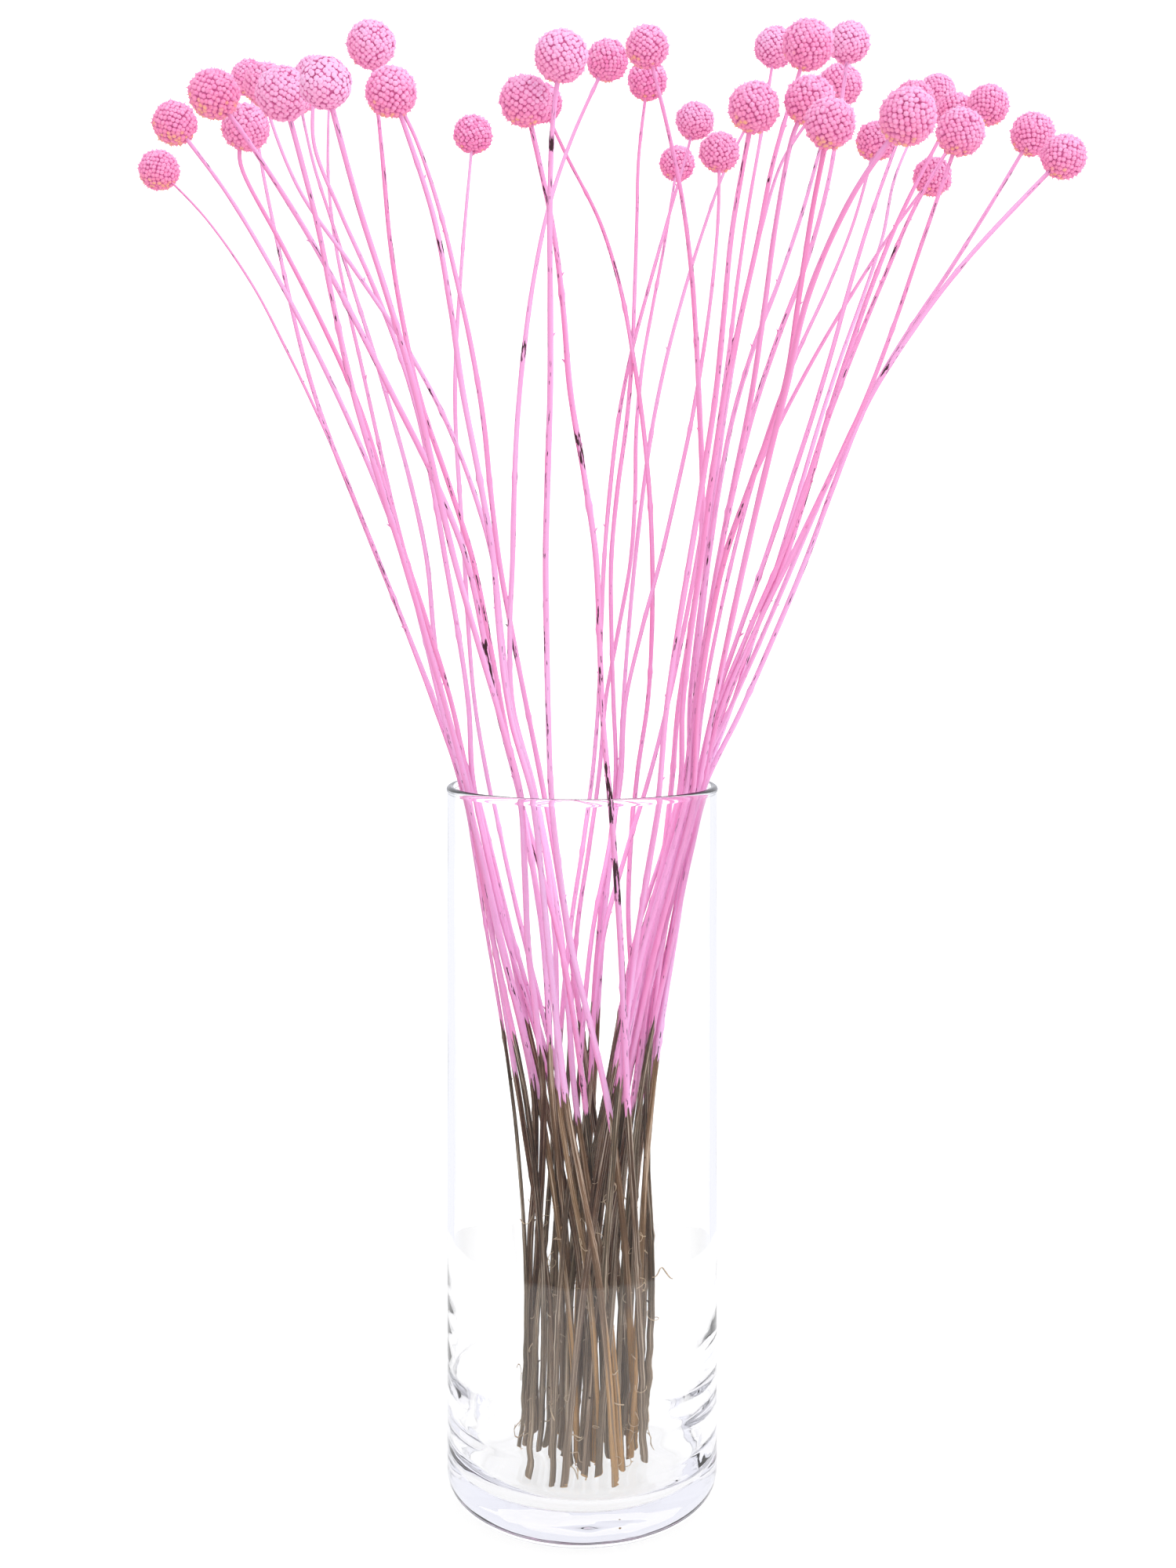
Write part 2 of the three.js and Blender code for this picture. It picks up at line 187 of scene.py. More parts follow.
# %% [markdown]
# ## One floret knob, and a bristle
# A head is a ball of little knobs, each a cluster of tube-shaped florets so small that only its rounded
# crown shows. It could be a sphere, but hundreds of spheres on dozens of heads would be millions of
# faces. A knob of a few rings, closed at the top and open underneath where it is never seen, catches
# light the same way with a few dozen. Many knobs have a stiff bristle standing out of them, which breaks
# the outline. The height up a knob is kept as an attribute, so that the finish can be deeper down in the
# gaps, where little spray reaches and the deeper pink is also painted shade, and dark at the bristles'
# tips.

# %% Floret knob and bristle
KNOB_SIDES = 6
KNOB_RINGS = [(-0.35, 0.50), (0.06, 0.58), (0.32, 0.46), (0.50, 0.22)]
KNOB_TIP = 0.60
BRISTLE_SIDES = 3
BRISTLE_RINGS = [(0.10, 0.15), (0.60, 0.10)]
BRISTLE_TIP = 0.98


def join_rings(shape, rings):
    """The faces between every ring of corners and the next."""
    for lower, upper in zip(rings, rings[1:]):
        for i in range(len(lower)):
            j = (i + 1) % len(lower)
            shape.faces.new((lower[i], lower[j], upper[j], upper[i]))


def turned_shape(name, sides, section, tip):
    """A small pointed shape along +Z, open underneath, that keeps how high each of its points is."""
    mesh = bpy.data.meshes.new(name)
    shape = bmesh.new()
    angles = [2 * math.pi * i / sides for i in range(sides)]
    rings = [[shape.verts.new((radius * math.cos(a), radius * math.sin(a), height)) for a in angles]
             for height, radius in section]
    join_rings(shape, rings)
    point = shape.verts.new((0, 0, tip))
    for i in range(sides):
        shape.faces.new((rings[-1][i], rings[-1][(i + 1) % sides], point))
    shape.to_mesh(mesh)
    shape.free()
    foot = KNOB_RINGS[0][0]
    heights = [(vertex.co.z - foot) / (KNOB_TIP - foot) for vertex in mesh.vertices]
    mesh.attributes.new("knob_height", "FLOAT", "POINT").data.foreach_set("value", heights)
    return add_object(name, mesh)


knob = turned_shape("floret_knob", KNOB_SIDES, KNOB_RINGS, KNOB_TIP)
bristle = turned_shape("floret_bristle", BRISTLE_SIDES, BRISTLE_RINGS, BRISTLE_TIP)
print("faces on one knob:", len(knob.data.polygons), "and on one bristle:", len(bristle.data.polygons))

# %% [markdown]
# ## The paint on the heads
# Aerosol paint dries chalky on dried florets: no gloss, and every crown evenly covered. It came mostly
# from above and from one side, the side the lamp lights, so that side of a head is a cool, thick, lighter
# pink, partly a painted highlight, while the far side has a thin coat that lets the yellow of the florets
# through and turns salmon, partly as painted shade, with a few knobs left bare. Down between the knobs
# the coat is thin and a deeper pink, which is also painted shade. The finish reads three things stored
# on the knobs: how high on the knob, how squarely the knob faced the spray and faces the lamp, and a
# random tone, since no two knobs took the same amount of paint. Every pattern's size is in millimetres.

# %% Material: aerosol paint on dried florets, how thick the coat is
PATCH_SIZE = 11.0
PATCH_STRENGTH = 1.3
NO_COAT, FULL_COAT = -0.35, 1.65
floret_paint, add, shader = new_material("Chalky aerosol paint on dried florets")
# How squarely each knob faced the spray and faces the lamp: the lighter pink it brings is partly painted
# highlight, the salmon partly painted shade.
knob_height, facing_spray, tone = [
    add("ShaderNodeAttribute", attribute_name=name).outputs["Fac"]
    for name in ("knob_height", "facing_spray", "tone")]
place = add("ShaderNodeTexCoord").outputs["Object"]
patches = add("ShaderNodeTexNoise", {"Vector": place, "Scale": 1000 / PATCH_SIZE, "Detail": 2.0})
mottled = add("ShaderNodeMath", {0: patches, 1: PATCH_STRENGTH, 2: facing_spray}, operation="MULTIPLY_ADD")
coat_and_light = add("ShaderNodeMapRange", {"Value": mottled, "From Min": NO_COAT, "From Max": FULL_COAT})

# %% Material: aerosol paint on dried florets, its colours
# From salmon, thinly sprayed and away from the lamp, to cool light pink facing spray and lamp: partly paint,
# partly painted shade and painted highlight.
CROWN_COAT_AND_LIGHT_PINKS = [(0.0, "#fc9eb4"), (0.25, "#fa9fc7"), (0.5, "#f7a8d1"), (0.95, "#f4bfe6")]
# The gap pink, down between the knobs, is thin paint and also painted shade.
DEEP_PINK, BARE_FLORET, GAP_PINK_AND_SHADE, BRISTLE_TIP_BROWN = "#f478b8", "#f4ae90", "#e689bc", "#8a4a63"
TONE_FROM, TONE_TO, MOST_DEEP_PINK = 0.25, 1.8, 0.65
BARE_FROM, BARE_BELOW = 0.28, 0.2
TONE_FOR_COAT = 0.55
GAP_HEIGHT = 0.42
TIP_FROM, TIP_TO = 1.2, 1.5
THIN_COAT_REACH, THICK_COAT_GAIN = 0.93, -0.28

sprayed_and_lit = set_stops(add("ShaderNodeValToRGB", {"Fac": coat_and_light}), CROWN_COAT_AND_LIGHT_PINKS)
depth_of_tone = add("ShaderNodeMapRange", {
    "Value": tone, "From Min": TONE_FROM, "From Max": TONE_TO, "To Max": MOST_DEEP_PINK})
bare = add("ShaderNodeMath", {0: tone, 1: TONE_FOR_COAT, 2: coat_and_light}, operation="MULTIPLY_ADD")
bare_knob = add("ShaderNodeMapRange", {"Value": bare, "From Min": BARE_FROM, "From Max": BARE_BELOW})
on_crown = lay_over(add, sprayed_and_lit, [(depth_of_tone, DEEP_PINK), (bare_knob, BARE_FLORET)])

# How far up a knob the deeper gap pink, partly painted shade, reaches: less far where the coat is thick.
spray_and_shade_reach = add("ShaderNodeMath", {0: coat_and_light, 1: THICK_COAT_GAIN, 2: THIN_COAT_REACH},
                  operation="MULTIPLY_ADD")
out_of_gap = add("ShaderNodeMapRange", {
    "Value": knob_height, "From Min": GAP_HEIGHT, "From Max": spray_and_shade_reach}, interpolation_type="SMOOTHSTEP")
at_tip = add("ShaderNodeMapRange", {"Value": knob_height, "From Min": TIP_FROM, "From Max": TIP_TO})
floret_colour = lay_over(add, GAP_PINK_AND_SHADE, [(out_of_gap, on_crown), (at_tip, BRISTLE_TIP_BROWN)])

# %% Material: aerosol paint on dried florets, its grain
GRAIN_SIZE = 0.25
grain = add("ShaderNodeTexNoise", {"Vector": place, "Scale": 1000 / GRAIN_SIZE, "Detail": 1.0})
rough_skin = add("ShaderNodeBump", {"Height": grain, "Strength": 0.35, "Distance": 0.1 * MM})
feed(shader, {"Base Color": floret_colour, "Normal": rough_skin, "Roughness": 0.88,
              "Specular IOR Level": 0.25})
print("nodes in the paint on the florets:", len(floret_paint.node_tree.nodes))

# %% [markdown]
# ## The heart of a head
# Behind the knobs lies the ball that they grew on. It shows only as specks of deep pink-brown between
# them, a colour darker than the florets that is painted shade in the gaps, but without it a head would
# be see-through.

# %% Material: the dried receptacle under the florets, its deep pink as painted shade
HEART_FIBRE_SIZE = 10 / 9  # nine fibres to a centimetre
# The receptacle's deep pink-brown, seen only between the knobs, is painted shade.
heart_with_painted_shade, add, shader = new_material("Dried flower receptacle, deep pink as painted shade")
place = add("ShaderNodeTexCoord").outputs["Object"]
fibres = add("ShaderNodeTexNoise", {"Vector": place, "Scale": 1000 / HEART_FIBRE_SIZE, "Detail": 2.0})
feed(shader, {"Base Color": lay_over(add, "#b04a7e", [(fibres, "#d86fa6")]), "Roughness": 0.95})

# %% [markdown]
# ## Stems: paint above, bark below
# A dried stem is ribbed bark, brown to grey-olive, lighter towards the foot, and tan where a strip has
# peeled. Its ribs are near-black in the grooves and pale grey on the ridges, partly the bark's own grain
# and partly painted shade and painted highlight. Pink paint covers it down to a ragged line: the spray
# ran into the grooves and dried there in points. The pink is lighter on the side that faced the spray
# and faces the lamp, partly as a painted highlight, and lighter inside the vase, as painted light. Above
# the line the coat is chipped where the stems were handled or knocked, and each chip shows near-black
# bark. Everything here follows the stem, so it is painted by the distance along the stem and the way
# round it, both kept as attributes when the stem is grown, with a number per stem so that no two are
# alike. Lengths along the stem are in millimetres here.

# %% Material: sprayed bark, coordinates that follow the stem
PATTERN_STEP = 731.0  # how far along the pattern each stem starts after the one before it, in mm
stem_finish, add, shader = new_material("Aerosol paint over dried stem bark")
along, around, stem_number, paint_line, facing_spray, knocked = [
    add("ShaderNodeAttribute", attribute_name=name).outputs["Fac"]
    for name in ("along", "around", "stem_number", "paint_line", "facing_spray", "knocked")]

turn = add("ShaderNodeMath", {0: around, 1: 2 * math.pi}, operation="MULTIPLY")
round_x, round_y = [add("ShaderNodeMath", {0: turn}, operation=way) for way in ("COSINE", "SINE")]
along_mm = add("ShaderNodeMath", {0: along, 1: 1000.0}, operation="MULTIPLY")
own_start = add("ShaderNodeMath", {0: stem_number, 1: PATTERN_STEP, 2: along_mm}, operation="MULTIPLY_ADD")
on_stem = add("ShaderNodeCombineXYZ", {"X": round_x, "Y": round_y, "Z": own_start})


def stem_noise(across, lengthwise, detail, start=0.0):
    """Noise on the stem's own coordinates: how fast it changes around it, and how long it stays along it."""
    at = add("ShaderNodeMapping", {
        "Vector": on_stem, "Location": (start,) * 3, "Scale": (across, across, 1 / lengthwise)})
    return add("ShaderNodeTexNoise", {"Vector": at, "Scale": 1.0, "Detail": detail, "Roughness": 0.6})


# %% Material: sprayed bark, the ragged paint line
DRIP_REACH = 16.0
JAG_REACH = 5.0
EDGE_OF_PAINT = 0.4
drips = stem_noise(0.8, 400.0, 1.0)
dripped = add("ShaderNodeMath", {
    0: drips, 1: 2 * DRIP_REACH, 2: -DRIP_REACH - JAG_REACH / 2}, operation="MULTIPLY_ADD")
jagged = add("ShaderNodeMath", {0: stem_noise(2.0, 30.0, 1.0), 1: JAG_REACH, 2: dripped},
             operation="MULTIPLY_ADD")
line_mm = add("ShaderNodeMath", {0: paint_line, 1: 1000.0, 2: jagged}, operation="MULTIPLY_ADD")
over_line = add("ShaderNodeMath", {0: along_mm, 1: line_mm}, operation="SUBTRACT")
painted = add("ShaderNodeMapRange", {
    "Value": over_line, "From Min": -EDGE_OF_PAINT, "From Max": EDGE_OF_PAINT})

# %% Material: sprayed bark, chips in the paint
CHIP_LENGTH = 7.0
HANDLED_LENGTH = 80.0
HANDLED_STRENGTH = 0.6
KNOCK_STRENGTH = 0.19
PAINT_HOLDS, PAINT_GONE = 1.0, 1.02
chips = stem_noise(1.5, CHIP_LENGTH, 2.0, start=40.0)
handled = stem_noise(0.6, HANDLED_LENGTH, 1.0, start=60.0)
where_handled = add("ShaderNodeMath", {0: handled, 1: HANDLED_STRENGTH, 2: chips}, operation="MULTIPLY_ADD")
loosened = add("ShaderNodeMath", {0: knocked, 1: KNOCK_STRENGTH, 2: where_handled},
               operation="MULTIPLY_ADD")
chipped = add("ShaderNodeMapRange", {"Value": loosened, "From Min": PAINT_HOLDS, "From Max": PAINT_GONE})
kept_paint = add("ShaderNodeMath", {0: painted, 1: chipped}, operation="SUBTRACT", use_clamp=True)

# %% Material: sprayed bark, the colours of the bark
# The ribs also give the bump its height, so these tones make grooves near-black and ridges pale grey: partly
# bark grain, partly painted shade and painted highlight.
BARK_TONES_RIB_SHADE_AND_HIGHLIGHT = [(0.38, "#090504"), (0.46, "#3c2a20"), (0.54, "#856a54"), (0.62, "#ebdccb")]
CASTS = [(0.0, "#2a1a15"), (0.3, "#6e6553"), (0.5, "#4e281f"), (0.75, "#7d5c48"), (1.0, "#a9875f")]
CAST_SHARE = 0.48
PEELED_STEMS_FROM, PEELED_STEMS_TO = 0.72, 0.78
PEEL_FROM, PEEL_TO = 0.47, 0.5
PEELED_LENGTH = 75.0
PEEL_FADE = 12.0
LIGHTER_FOOT_REACH = 130.0
MOST_LIGHTENED = 0.5
ribs = stem_noise(2.4, 40.0, 5.0)
own_cast = add("ShaderNodeTexWhiteNoise", {"W": stem_number}, noise_dimensions="1D")
cast_colour = set_stops(add("ShaderNodeValToRGB", {"Fac": own_cast}), CASTS)
ribbed_lit_and_shaded = set_stops(add("ShaderNodeValToRGB", {"Fac": ribs}), BARK_TONES_RIB_SHADE_AND_HIGHLIGHT)
peel_share = add("ShaderNodeMapRange", {
    "Value": own_cast, "From Min": PEELED_STEMS_FROM, "From Max": PEELED_STEMS_TO})
peel_place = add("ShaderNodeMapRange", {
    "Value": stem_noise(0.9, 60.0, 1.0, start=9.0), "From Min": PEEL_FROM, "From Max": PEEL_TO})
peel_height = add("ShaderNodeMapRange", {
    "Value": along_mm, "From Min": PEELED_LENGTH, "From Max": PEELED_LENGTH - PEEL_FADE})
peeled = peel_place
for share in (peel_height, peel_share):
    peeled = add("ShaderNodeMath", {0: peeled, 1: share}, operation="MULTIPLY")
# The bark turns lighter and greyer over its lowest stretch, towards the foot.
lighter_towards_foot = add("ShaderNodeMapRange", {
    "Value": along_mm, "From Min": LIGHTER_FOOT_REACH, "From Max": 0.0, "To Max": MOST_LIGHTENED})
lighter_low_bark = lay_over(add, "#4a3d33", [(ribs, "#cfbca3")])
bare_wood = lay_over(add, "#93683c", [(ribs, "#cfa877")])
lower_stem = lay_over(add, ribbed_lit_and_shaded, [
    (CAST_SHARE, cast_colour), (lighter_towards_foot, lighter_low_bark), (peeled, bare_wood)])

# %% Material: sprayed bark, the colours of the paint
# The light end is reached facing the spray and the lamp and inside the vase, partly painted highlight and
# painted light; the hot pink end, away from them, partly painted shade.
STEM_COAT_AND_LIGHT_PINKS = [(0.0, "#ef72ad"), (0.4, "#ee8ec3"), (0.7, "#eda4d6"), (1.0, "#ecb9e5")]
# Where the pink turns lighter inside the vase, as painted light, in mm along the stem.
PAINTED_LIGHT_FROM, PAINTED_LIGHT_TO = 440.0, 280.0
MOST_PAINTED_LIGHT = 0.3
CLOUD_STRENGTH = 1.6
OWN_COAT_SHARE = 0.7
FULL_STEM_COAT = 2.2
CUT_FADE = 0.4
# Cloudy patches, lighter on the side facing the spray and the lamp, partly as a painted highlight.
cloudy = add("ShaderNodeMath", {
    0: stem_noise(0.7, 45.0, 2.0, start=21.0), 1: CLOUD_STRENGTH, 2: facing_spray},
    operation="MULTIPLY_ADD")
# Painted light: the pink is made lighter inside the vase, where less light reaches the stems through the
# glass.
painted_light_in_vase = add("ShaderNodeMapRange", {
    "Value": along_mm, "From Min": PAINTED_LIGHT_FROM, "From Max": PAINTED_LIGHT_TO, "To Max": MOST_PAINTED_LIGHT})
low_coat_and_light = add("ShaderNodeMath", {0: cloudy, 1: painted_light_in_vase})
own_coat_and_light = add("ShaderNodeMath", {0: own_cast, 1: OWN_COAT_SHARE, 2: low_coat_and_light}, operation="MULTIPLY_ADD")
coat_and_light = add("ShaderNodeMapRange", {"Value": own_coat_and_light, "From Min": 0.0, "From Max": FULL_STEM_COAT})
pink = set_stops(add("ShaderNodeValToRGB", {"Fac": coat_and_light}), STEM_COAT_AND_LIGHT_PINKS)
dark_scar = lay_over(add, "#1c0d12", [(ribs, "#5a3540")])
fresh_cut = add("ShaderNodeMapRange", {"Value": along_mm, "From Min": CUT_FADE, "From Max": 0.0})
stem_colour = lay_over(add, lower_stem, [(painted, dark_scar), (kept_paint, pink), (fresh_cut, "#cda777")])

# %% Material: sprayed bark, how rough it is
STEP_OF_COAT = 0.5
BARK_ROUGHNESS, PAINT_ROUGHNESS = 0.85, 0.6
coat_thickness = add("ShaderNodeMath", {0: kept_paint, 1: STEP_OF_COAT, 2: ribs}, operation="MULTIPLY_ADD")
relief = add("ShaderNodeBump", {"Height": coat_thickness, "Strength": 0.6, "Distance": 0.3 * MM})
gloss = add("ShaderNodeMapRange", {
    "Value": kept_paint, "To Min": BARK_ROUGHNESS, "To Max": PAINT_ROUGHNESS})
feed(shader, {"Base Color": stem_colour, "Normal": relief, "Roughness": gloss, "Specular IOR Level": 0.3})
print("nodes in the sprayed bark:", len(stem_finish.node_tree.nodes))

# %% Material: bast fibre
# Torn bast is straw-coloured, streaked lengthwise and dull, so a curl shows pale against the dark bark.
FIBRE_STREAK_SIZE = 10 / 3  # three streaks to a centimetre
fibre_finish, add, shader = new_material("Dry bast fibre")
place = add("ShaderNodeTexCoord").outputs["Object"]
streaks = add("ShaderNodeTexNoise", {"Vector": place, "Scale": 1000 / FIBRE_STREAK_SIZE})
feed(shader, {"Base Color": lay_over(add, "#b59a7c", [(streaks, "#e6d2b6")]), "Roughness": 0.8})

# %% [markdown]
# ## Growing a stem
# A stem follows a course, so it is grown by Geometry Nodes: the course read from the frame becomes a
# smooth spline, a small ring is carried along it, and the surface is pushed in and out. Curve modifiers
# or a skin modifier could also do this, but only nodes can keep the distance along and around the stem
# for the paint. The rings are spaced a few millimetres apart, close enough for the small swellings where
# bracts once sat. Some bracts broke off and left a stub, which is scattered along the same spline. At
# the foot the florist's scissors left a slanted cut.

# %% Geometry Nodes: sizes of the stem and a helper for tree inputs
RING_SPACING = 3.2 * MM
STEM_SIDES = 8
KNOT_STEP = 613.0
KNOT_SPACING = 75.0
KNOT_LENGTH = 1.8
KNOT_SWELLING = 0.3
WAVER, WAVER_LENGTH = 0.16, 20.0
CUT_SLANT = 1.5
STUB_SPACING = 34 * MM
STUB_SHARE = 0.3
STUB_SIDES = 5
STUB_LENGTH = 1.9 * MM
STUB_RADIUS = 0.55 * MM
STUB_TAPER = 0.3
STUB_SUNK = 0.35
STUB_SMALLEST, STUB_LARGEST = 0.6, 1.25
# The spray came from nearly where the lamp stands, so colours that follow this direction are partly painted
# highlight and painted shade.
SPRAY_AND_LAMP_FROM = tuple(Vector((0.35, -0.3, 0.9)).normalized())


def new_tree(name, inputs):
    """A geometry node tree with these named inputs, what adds nodes to it, and what the inputs give."""
    tree = bpy.data.node_groups.new(name, "GeometryNodeTree")
    for socket, kind in {"Geometry": "Geometry", **inputs}.items():
        tree.interface.new_socket(socket, in_out="INPUT", socket_type="NodeSocket" + kind)
    tree.interface.new_socket("Geometry", in_out="OUTPUT", socket_type="NodeSocketGeometry")
    add = partial(add_node, tree)
    return tree, add, add("NodeGroupInput").outputs


def finish(add, geometry, material):
    """The end of every branch: instances made real, and the finish set."""
    real = add("GeometryNodeRealizeInstances", {"Geometry": geometry})
    return add("GeometryNodeSetMaterial", {"Geometry": real, "Material": material})


# %% Geometry Nodes: the stem
stem_tree, add, given = new_tree("Grow a stem", {
    "Ring spacing": "Float", "Sides": "Int", "Knot spacing": "Float", "Stub spacing": "Float",
    "Stem number": "Float", "Paint line": "Float", "Cut": "Vector", "Seed": "Int", "Finish": "Material"})
course = add("GeometryNodeMeshToCurve", {"Mesh": given["Geometry"]})
smooth = add("GeometryNodeCurveSplineType", {"Curve": course}, spline_type="CATMULL_ROM")
spaced = add("GeometryNodeResampleCurve", {"Curve": smooth, "Length": given["Ring spacing"]}, mode="LENGTH")
length_here = add("GeometryNodeSplineParameter").outputs["Length"]
measured = add("GeometryNodeStoreNamedAttribute", {
    "Geometry": spaced, "Name": "along", "Value": length_here})

length_mm = add("ShaderNodeMath", {0: length_here, 1: 1000.0}, operation="MULTIPLY")
own_start = add("ShaderNodeMath", {0: given["Stem number"], 1: KNOT_STEP, 2: length_mm},
                operation="MULTIPLY_ADD")
in_knots = add("ShaderNodeMath", {0: own_start, 1: given["Knot spacing"]}, operation="DIVIDE")
knots = add("ShaderNodeTexVoronoi", {"W": in_knots, "Scale": 1.0}, voronoi_dimensions="1D")
knot = add("ShaderNodeMapRange", {
    "Value": knots, "From Min": KNOT_LENGTH / KNOT_SPACING, "From Max": 0.0, "To Max": KNOT_SWELLING},
    interpolation_type="SMOOTHSTEP")
waver_at = add("ShaderNodeCombineXYZ", {"X": own_start})
waver = add("ShaderNodeTexNoise", {"Vector": waver_at, "Scale": 1 / WAVER_LENGTH, "Detail": 1.0})
waver_size = add("ShaderNodeMapRange", {"Value": waver, "To Min": 1 - WAVER, "To Max": 1 + WAVER})
swollen = add("ShaderNodeMath", {0: waver_size, 1: knot})
thickness = add("GeometryNodeInputNamedAttribute", {"Name": "thickness"})
radius = add("ShaderNodeMath", {0: thickness, 1: swollen}, operation="MULTIPLY")

# %% Geometry Nodes: the stem's skin and its slanted cut
ring = add("GeometryNodeCurvePrimitiveCircle", {"Resolution": given["Sides"], "Radius": 1.0})
way_round = add("GeometryNodeSplineParameter").outputs["Factor"]
marked_ring = add("GeometryNodeStoreNamedAttribute", {
    "Geometry": ring, "Name": "around", "Value": way_round})
skin = add("GeometryNodeCurveToMesh", {
    "Curve": measured, "Profile Curve": marked_ring, "Scale": radius, "Fill Caps": True})
normal = add("GeometryNodeInputNormal")
# How squarely the skin faces the spray and the lamp, for the pink's lighter side, partly a painted highlight.
facing = add("ShaderNodeVectorMath", {0: normal, 1: SPRAY_AND_LAMP_FROM}, operation="DOT_PRODUCT")
sprayed_skin = add("GeometryNodeStoreNamedAttribute", {
    "Geometry": skin, "Name": "facing_spray", "Value": facing})
kept_along = add("GeometryNodeInputNamedAttribute", {"Name": "along"})
at_foot = add("FunctionNodeCompare", {"A": kept_along, "B": 0.1 * MM}, operation="LESS_THAN")
side_of_cut = add("ShaderNodeVectorMath", {0: normal, 1: given["Cut"]}, operation="DOT_PRODUCT")
foot_rise = add("ShaderNodeMapRange", {
    "Value": side_of_cut, "From Min": -1.0, "From Max": 1.0, "To Max": 2 * CUT_SLANT * MM})
rise = add("ShaderNodeCombineXYZ", {"Z": foot_rise})
cut = add("GeometryNodeSetPosition", {"Geometry": sprayed_skin, "Selection": at_foot, "Offset": rise})

# %% Geometry Nodes: the broken bracts
stub_points = add("GeometryNodeCurveToPoints", {
    "Curve": measured, "Length": given["Stub spacing"]}, mode="LENGTH")
stays = add("FunctionNodeRandomValue", {"Probability": 1 - STUB_SHARE, "Seed": given["Seed"]},
            data_type="BOOLEAN")
few_points = add("GeometryNodeDeleteGeometry", {"Geometry": stub_points, "Selection": stays})
any_turn = add("FunctionNodeRandomValue", {3: 2 * math.pi, "Seed": given["Seed"]})
sideways = add("ShaderNodeVectorRotate", {
    "Vector": stub_points.outputs["Normal"], "Axis": stub_points.outputs["Tangent"], "Angle": any_turn},
    rotation_type="AXIS_ANGLE")
up_and_out = add("ShaderNodeVectorMath", {0: sideways, 1: stub_points.outputs["Tangent"]})
stub_turn = add("FunctionNodeAlignRotationToVector", {"Vector": up_and_out}, axis="Z")
to_skin = add("ShaderNodeVectorMath", {0: sideways, "Scale": thickness}, operation="SCALE")
on_skin = add("GeometryNodeSetPosition", {"Geometry": few_points, "Offset": to_skin})
stub = add("GeometryNodeMeshCone", {
    "Vertices": STUB_SIDES, "Radius Top": STUB_TAPER * STUB_RADIUS, "Radius Bottom": STUB_RADIUS,
    "Depth": STUB_LENGTH})
sunk_stub = add("GeometryNodeTransform", {
    "Geometry": stub, "Translation": (0, 0, -STUB_SUNK * STUB_LENGTH)})
stub_size = add("FunctionNodeRandomValue", {2: STUB_SMALLEST, 3: STUB_LARGEST, "Seed": given["Seed"]})
stubs = add("GeometryNodeInstanceOnPoints", {
    "Points": on_skin, "Instance": sunk_stub, "Rotation": stub_turn, "Scale": stub_size})
real_stubs = add("GeometryNodeRealizeInstances", {"Geometry": stubs})
stem = add("GeometryNodeJoinGeometry", {0: [real_stubs, cut]})
for name, value in (("stem_number", given["Stem number"]), ("paint_line", given["Paint line"])):
    stem = add("GeometryNodeStoreNamedAttribute", {"Geometry": stem, "Name": name, "Value": value})
soft = add("GeometryNodeSetShadeSmooth", {"Geometry": stem})
add("NodeGroupOutput", {"Geometry": finish(add, soft, given["Finish"])})
print("nodes in the stem's tree:", len(stem_tree.nodes))

# %% [markdown]
# ## Loose fibres
# Old bark sheds bast fibres near the foot. They spring off as thin curls, so a flat spiral drawn once is
# set on a few random spots of each stem's lowest stretch, turned and stretched by chance. Only their
# number matters: a curl every few centimetres says dry bark, and more would say wool.

# %% Geometry Nodes: loose fibres
FIBRE_REACH = 0.13
FIBRES_PER_SQUARE_METRE = 2600.0
FIBRE_RADIUS = 0.15 * MM
FIBRE_START, FIBRE_CURL, FIBRE_RISE = 0.6 * MM, 2.6 * MM, 3.5 * MM
FIBRE_TURNS, FIBRE_POINTS = 1.05, 11
FIBRE_SMALLEST, FIBRE_LARGEST = (0.4, 0.4, 0.3), (1.5, 1.5, 2.6)
fibre_tree, add, given = new_tree("Shed fibres", {
    "Fibres per square metre": "Float", "Highest": "Float", "Curl": "Float", "Seed": "Int",
    "Fibre": "Material"})
kept_along = add("GeometryNodeInputNamedAttribute", {"Name": "along"})
low = add("FunctionNodeCompare", {"A": kept_along, "B": given["Highest"]}, operation="LESS_THAN")
spots = add("GeometryNodeDistributePointsOnFaces", {
    "Mesh": given["Geometry"], "Selection": low, "Density": given["Fibres per square metre"],
    "Seed": given["Seed"]})
curl = add("GeometryNodeCurveSpiral", {
    "Resolution": FIBRE_POINTS, "Rotations": FIBRE_TURNS, "Start Radius": FIBRE_START,
    "End Radius": given["Curl"], "Height": FIBRE_RISE})
strand = add("GeometryNodeCurvePrimitiveCircle", {"Resolution": 3, "Radius": FIBRE_RADIUS})
fibre = add("GeometryNodeCurveToMesh", {"Curve": curl, "Profile Curve": strand, "Fill Caps": True})
any_way = add("FunctionNodeRandomValue", {
    "Max": (2 * math.pi,) * 3, "Seed": given["Seed"]}, data_type="FLOAT_VECTOR")
any_size = add("FunctionNodeRandomValue", {
    "Min": FIBRE_SMALLEST, "Max": FIBRE_LARGEST, "Seed": given["Seed"]}, data_type="FLOAT_VECTOR")
fibres = add("GeometryNodeInstanceOnPoints", {
    "Points": spots, "Instance": fibre, "Rotation": any_way, "Scale": any_size})
soft = add("GeometryNodeSetShadeSmooth", {"Geometry": finish(add, fibres, given["Fibre"])})
stem_and_fibres = add("GeometryNodeJoinGeometry", {0: [soft, given["Geometry"]]})
add("NodeGroupOutput", {"Geometry": stem_and_fibres})
print("nodes in the fibres' tree:", len(fibre_tree.nodes))

# %% [markdown]
# ## Growing a head
# Florets open one after another round a growing point, each turned by the golden angle from the last.
# The same rule places them here: points wind from the crown of the ball to its foot, evenly spread, and
# a knob stands on each, turned outwards. Scattering at random would leave bald spots and overlaps. A
# little chance is added where nature adds it, in the place, size, lean and depth of each knob, and the
# ball itself is not quite round.

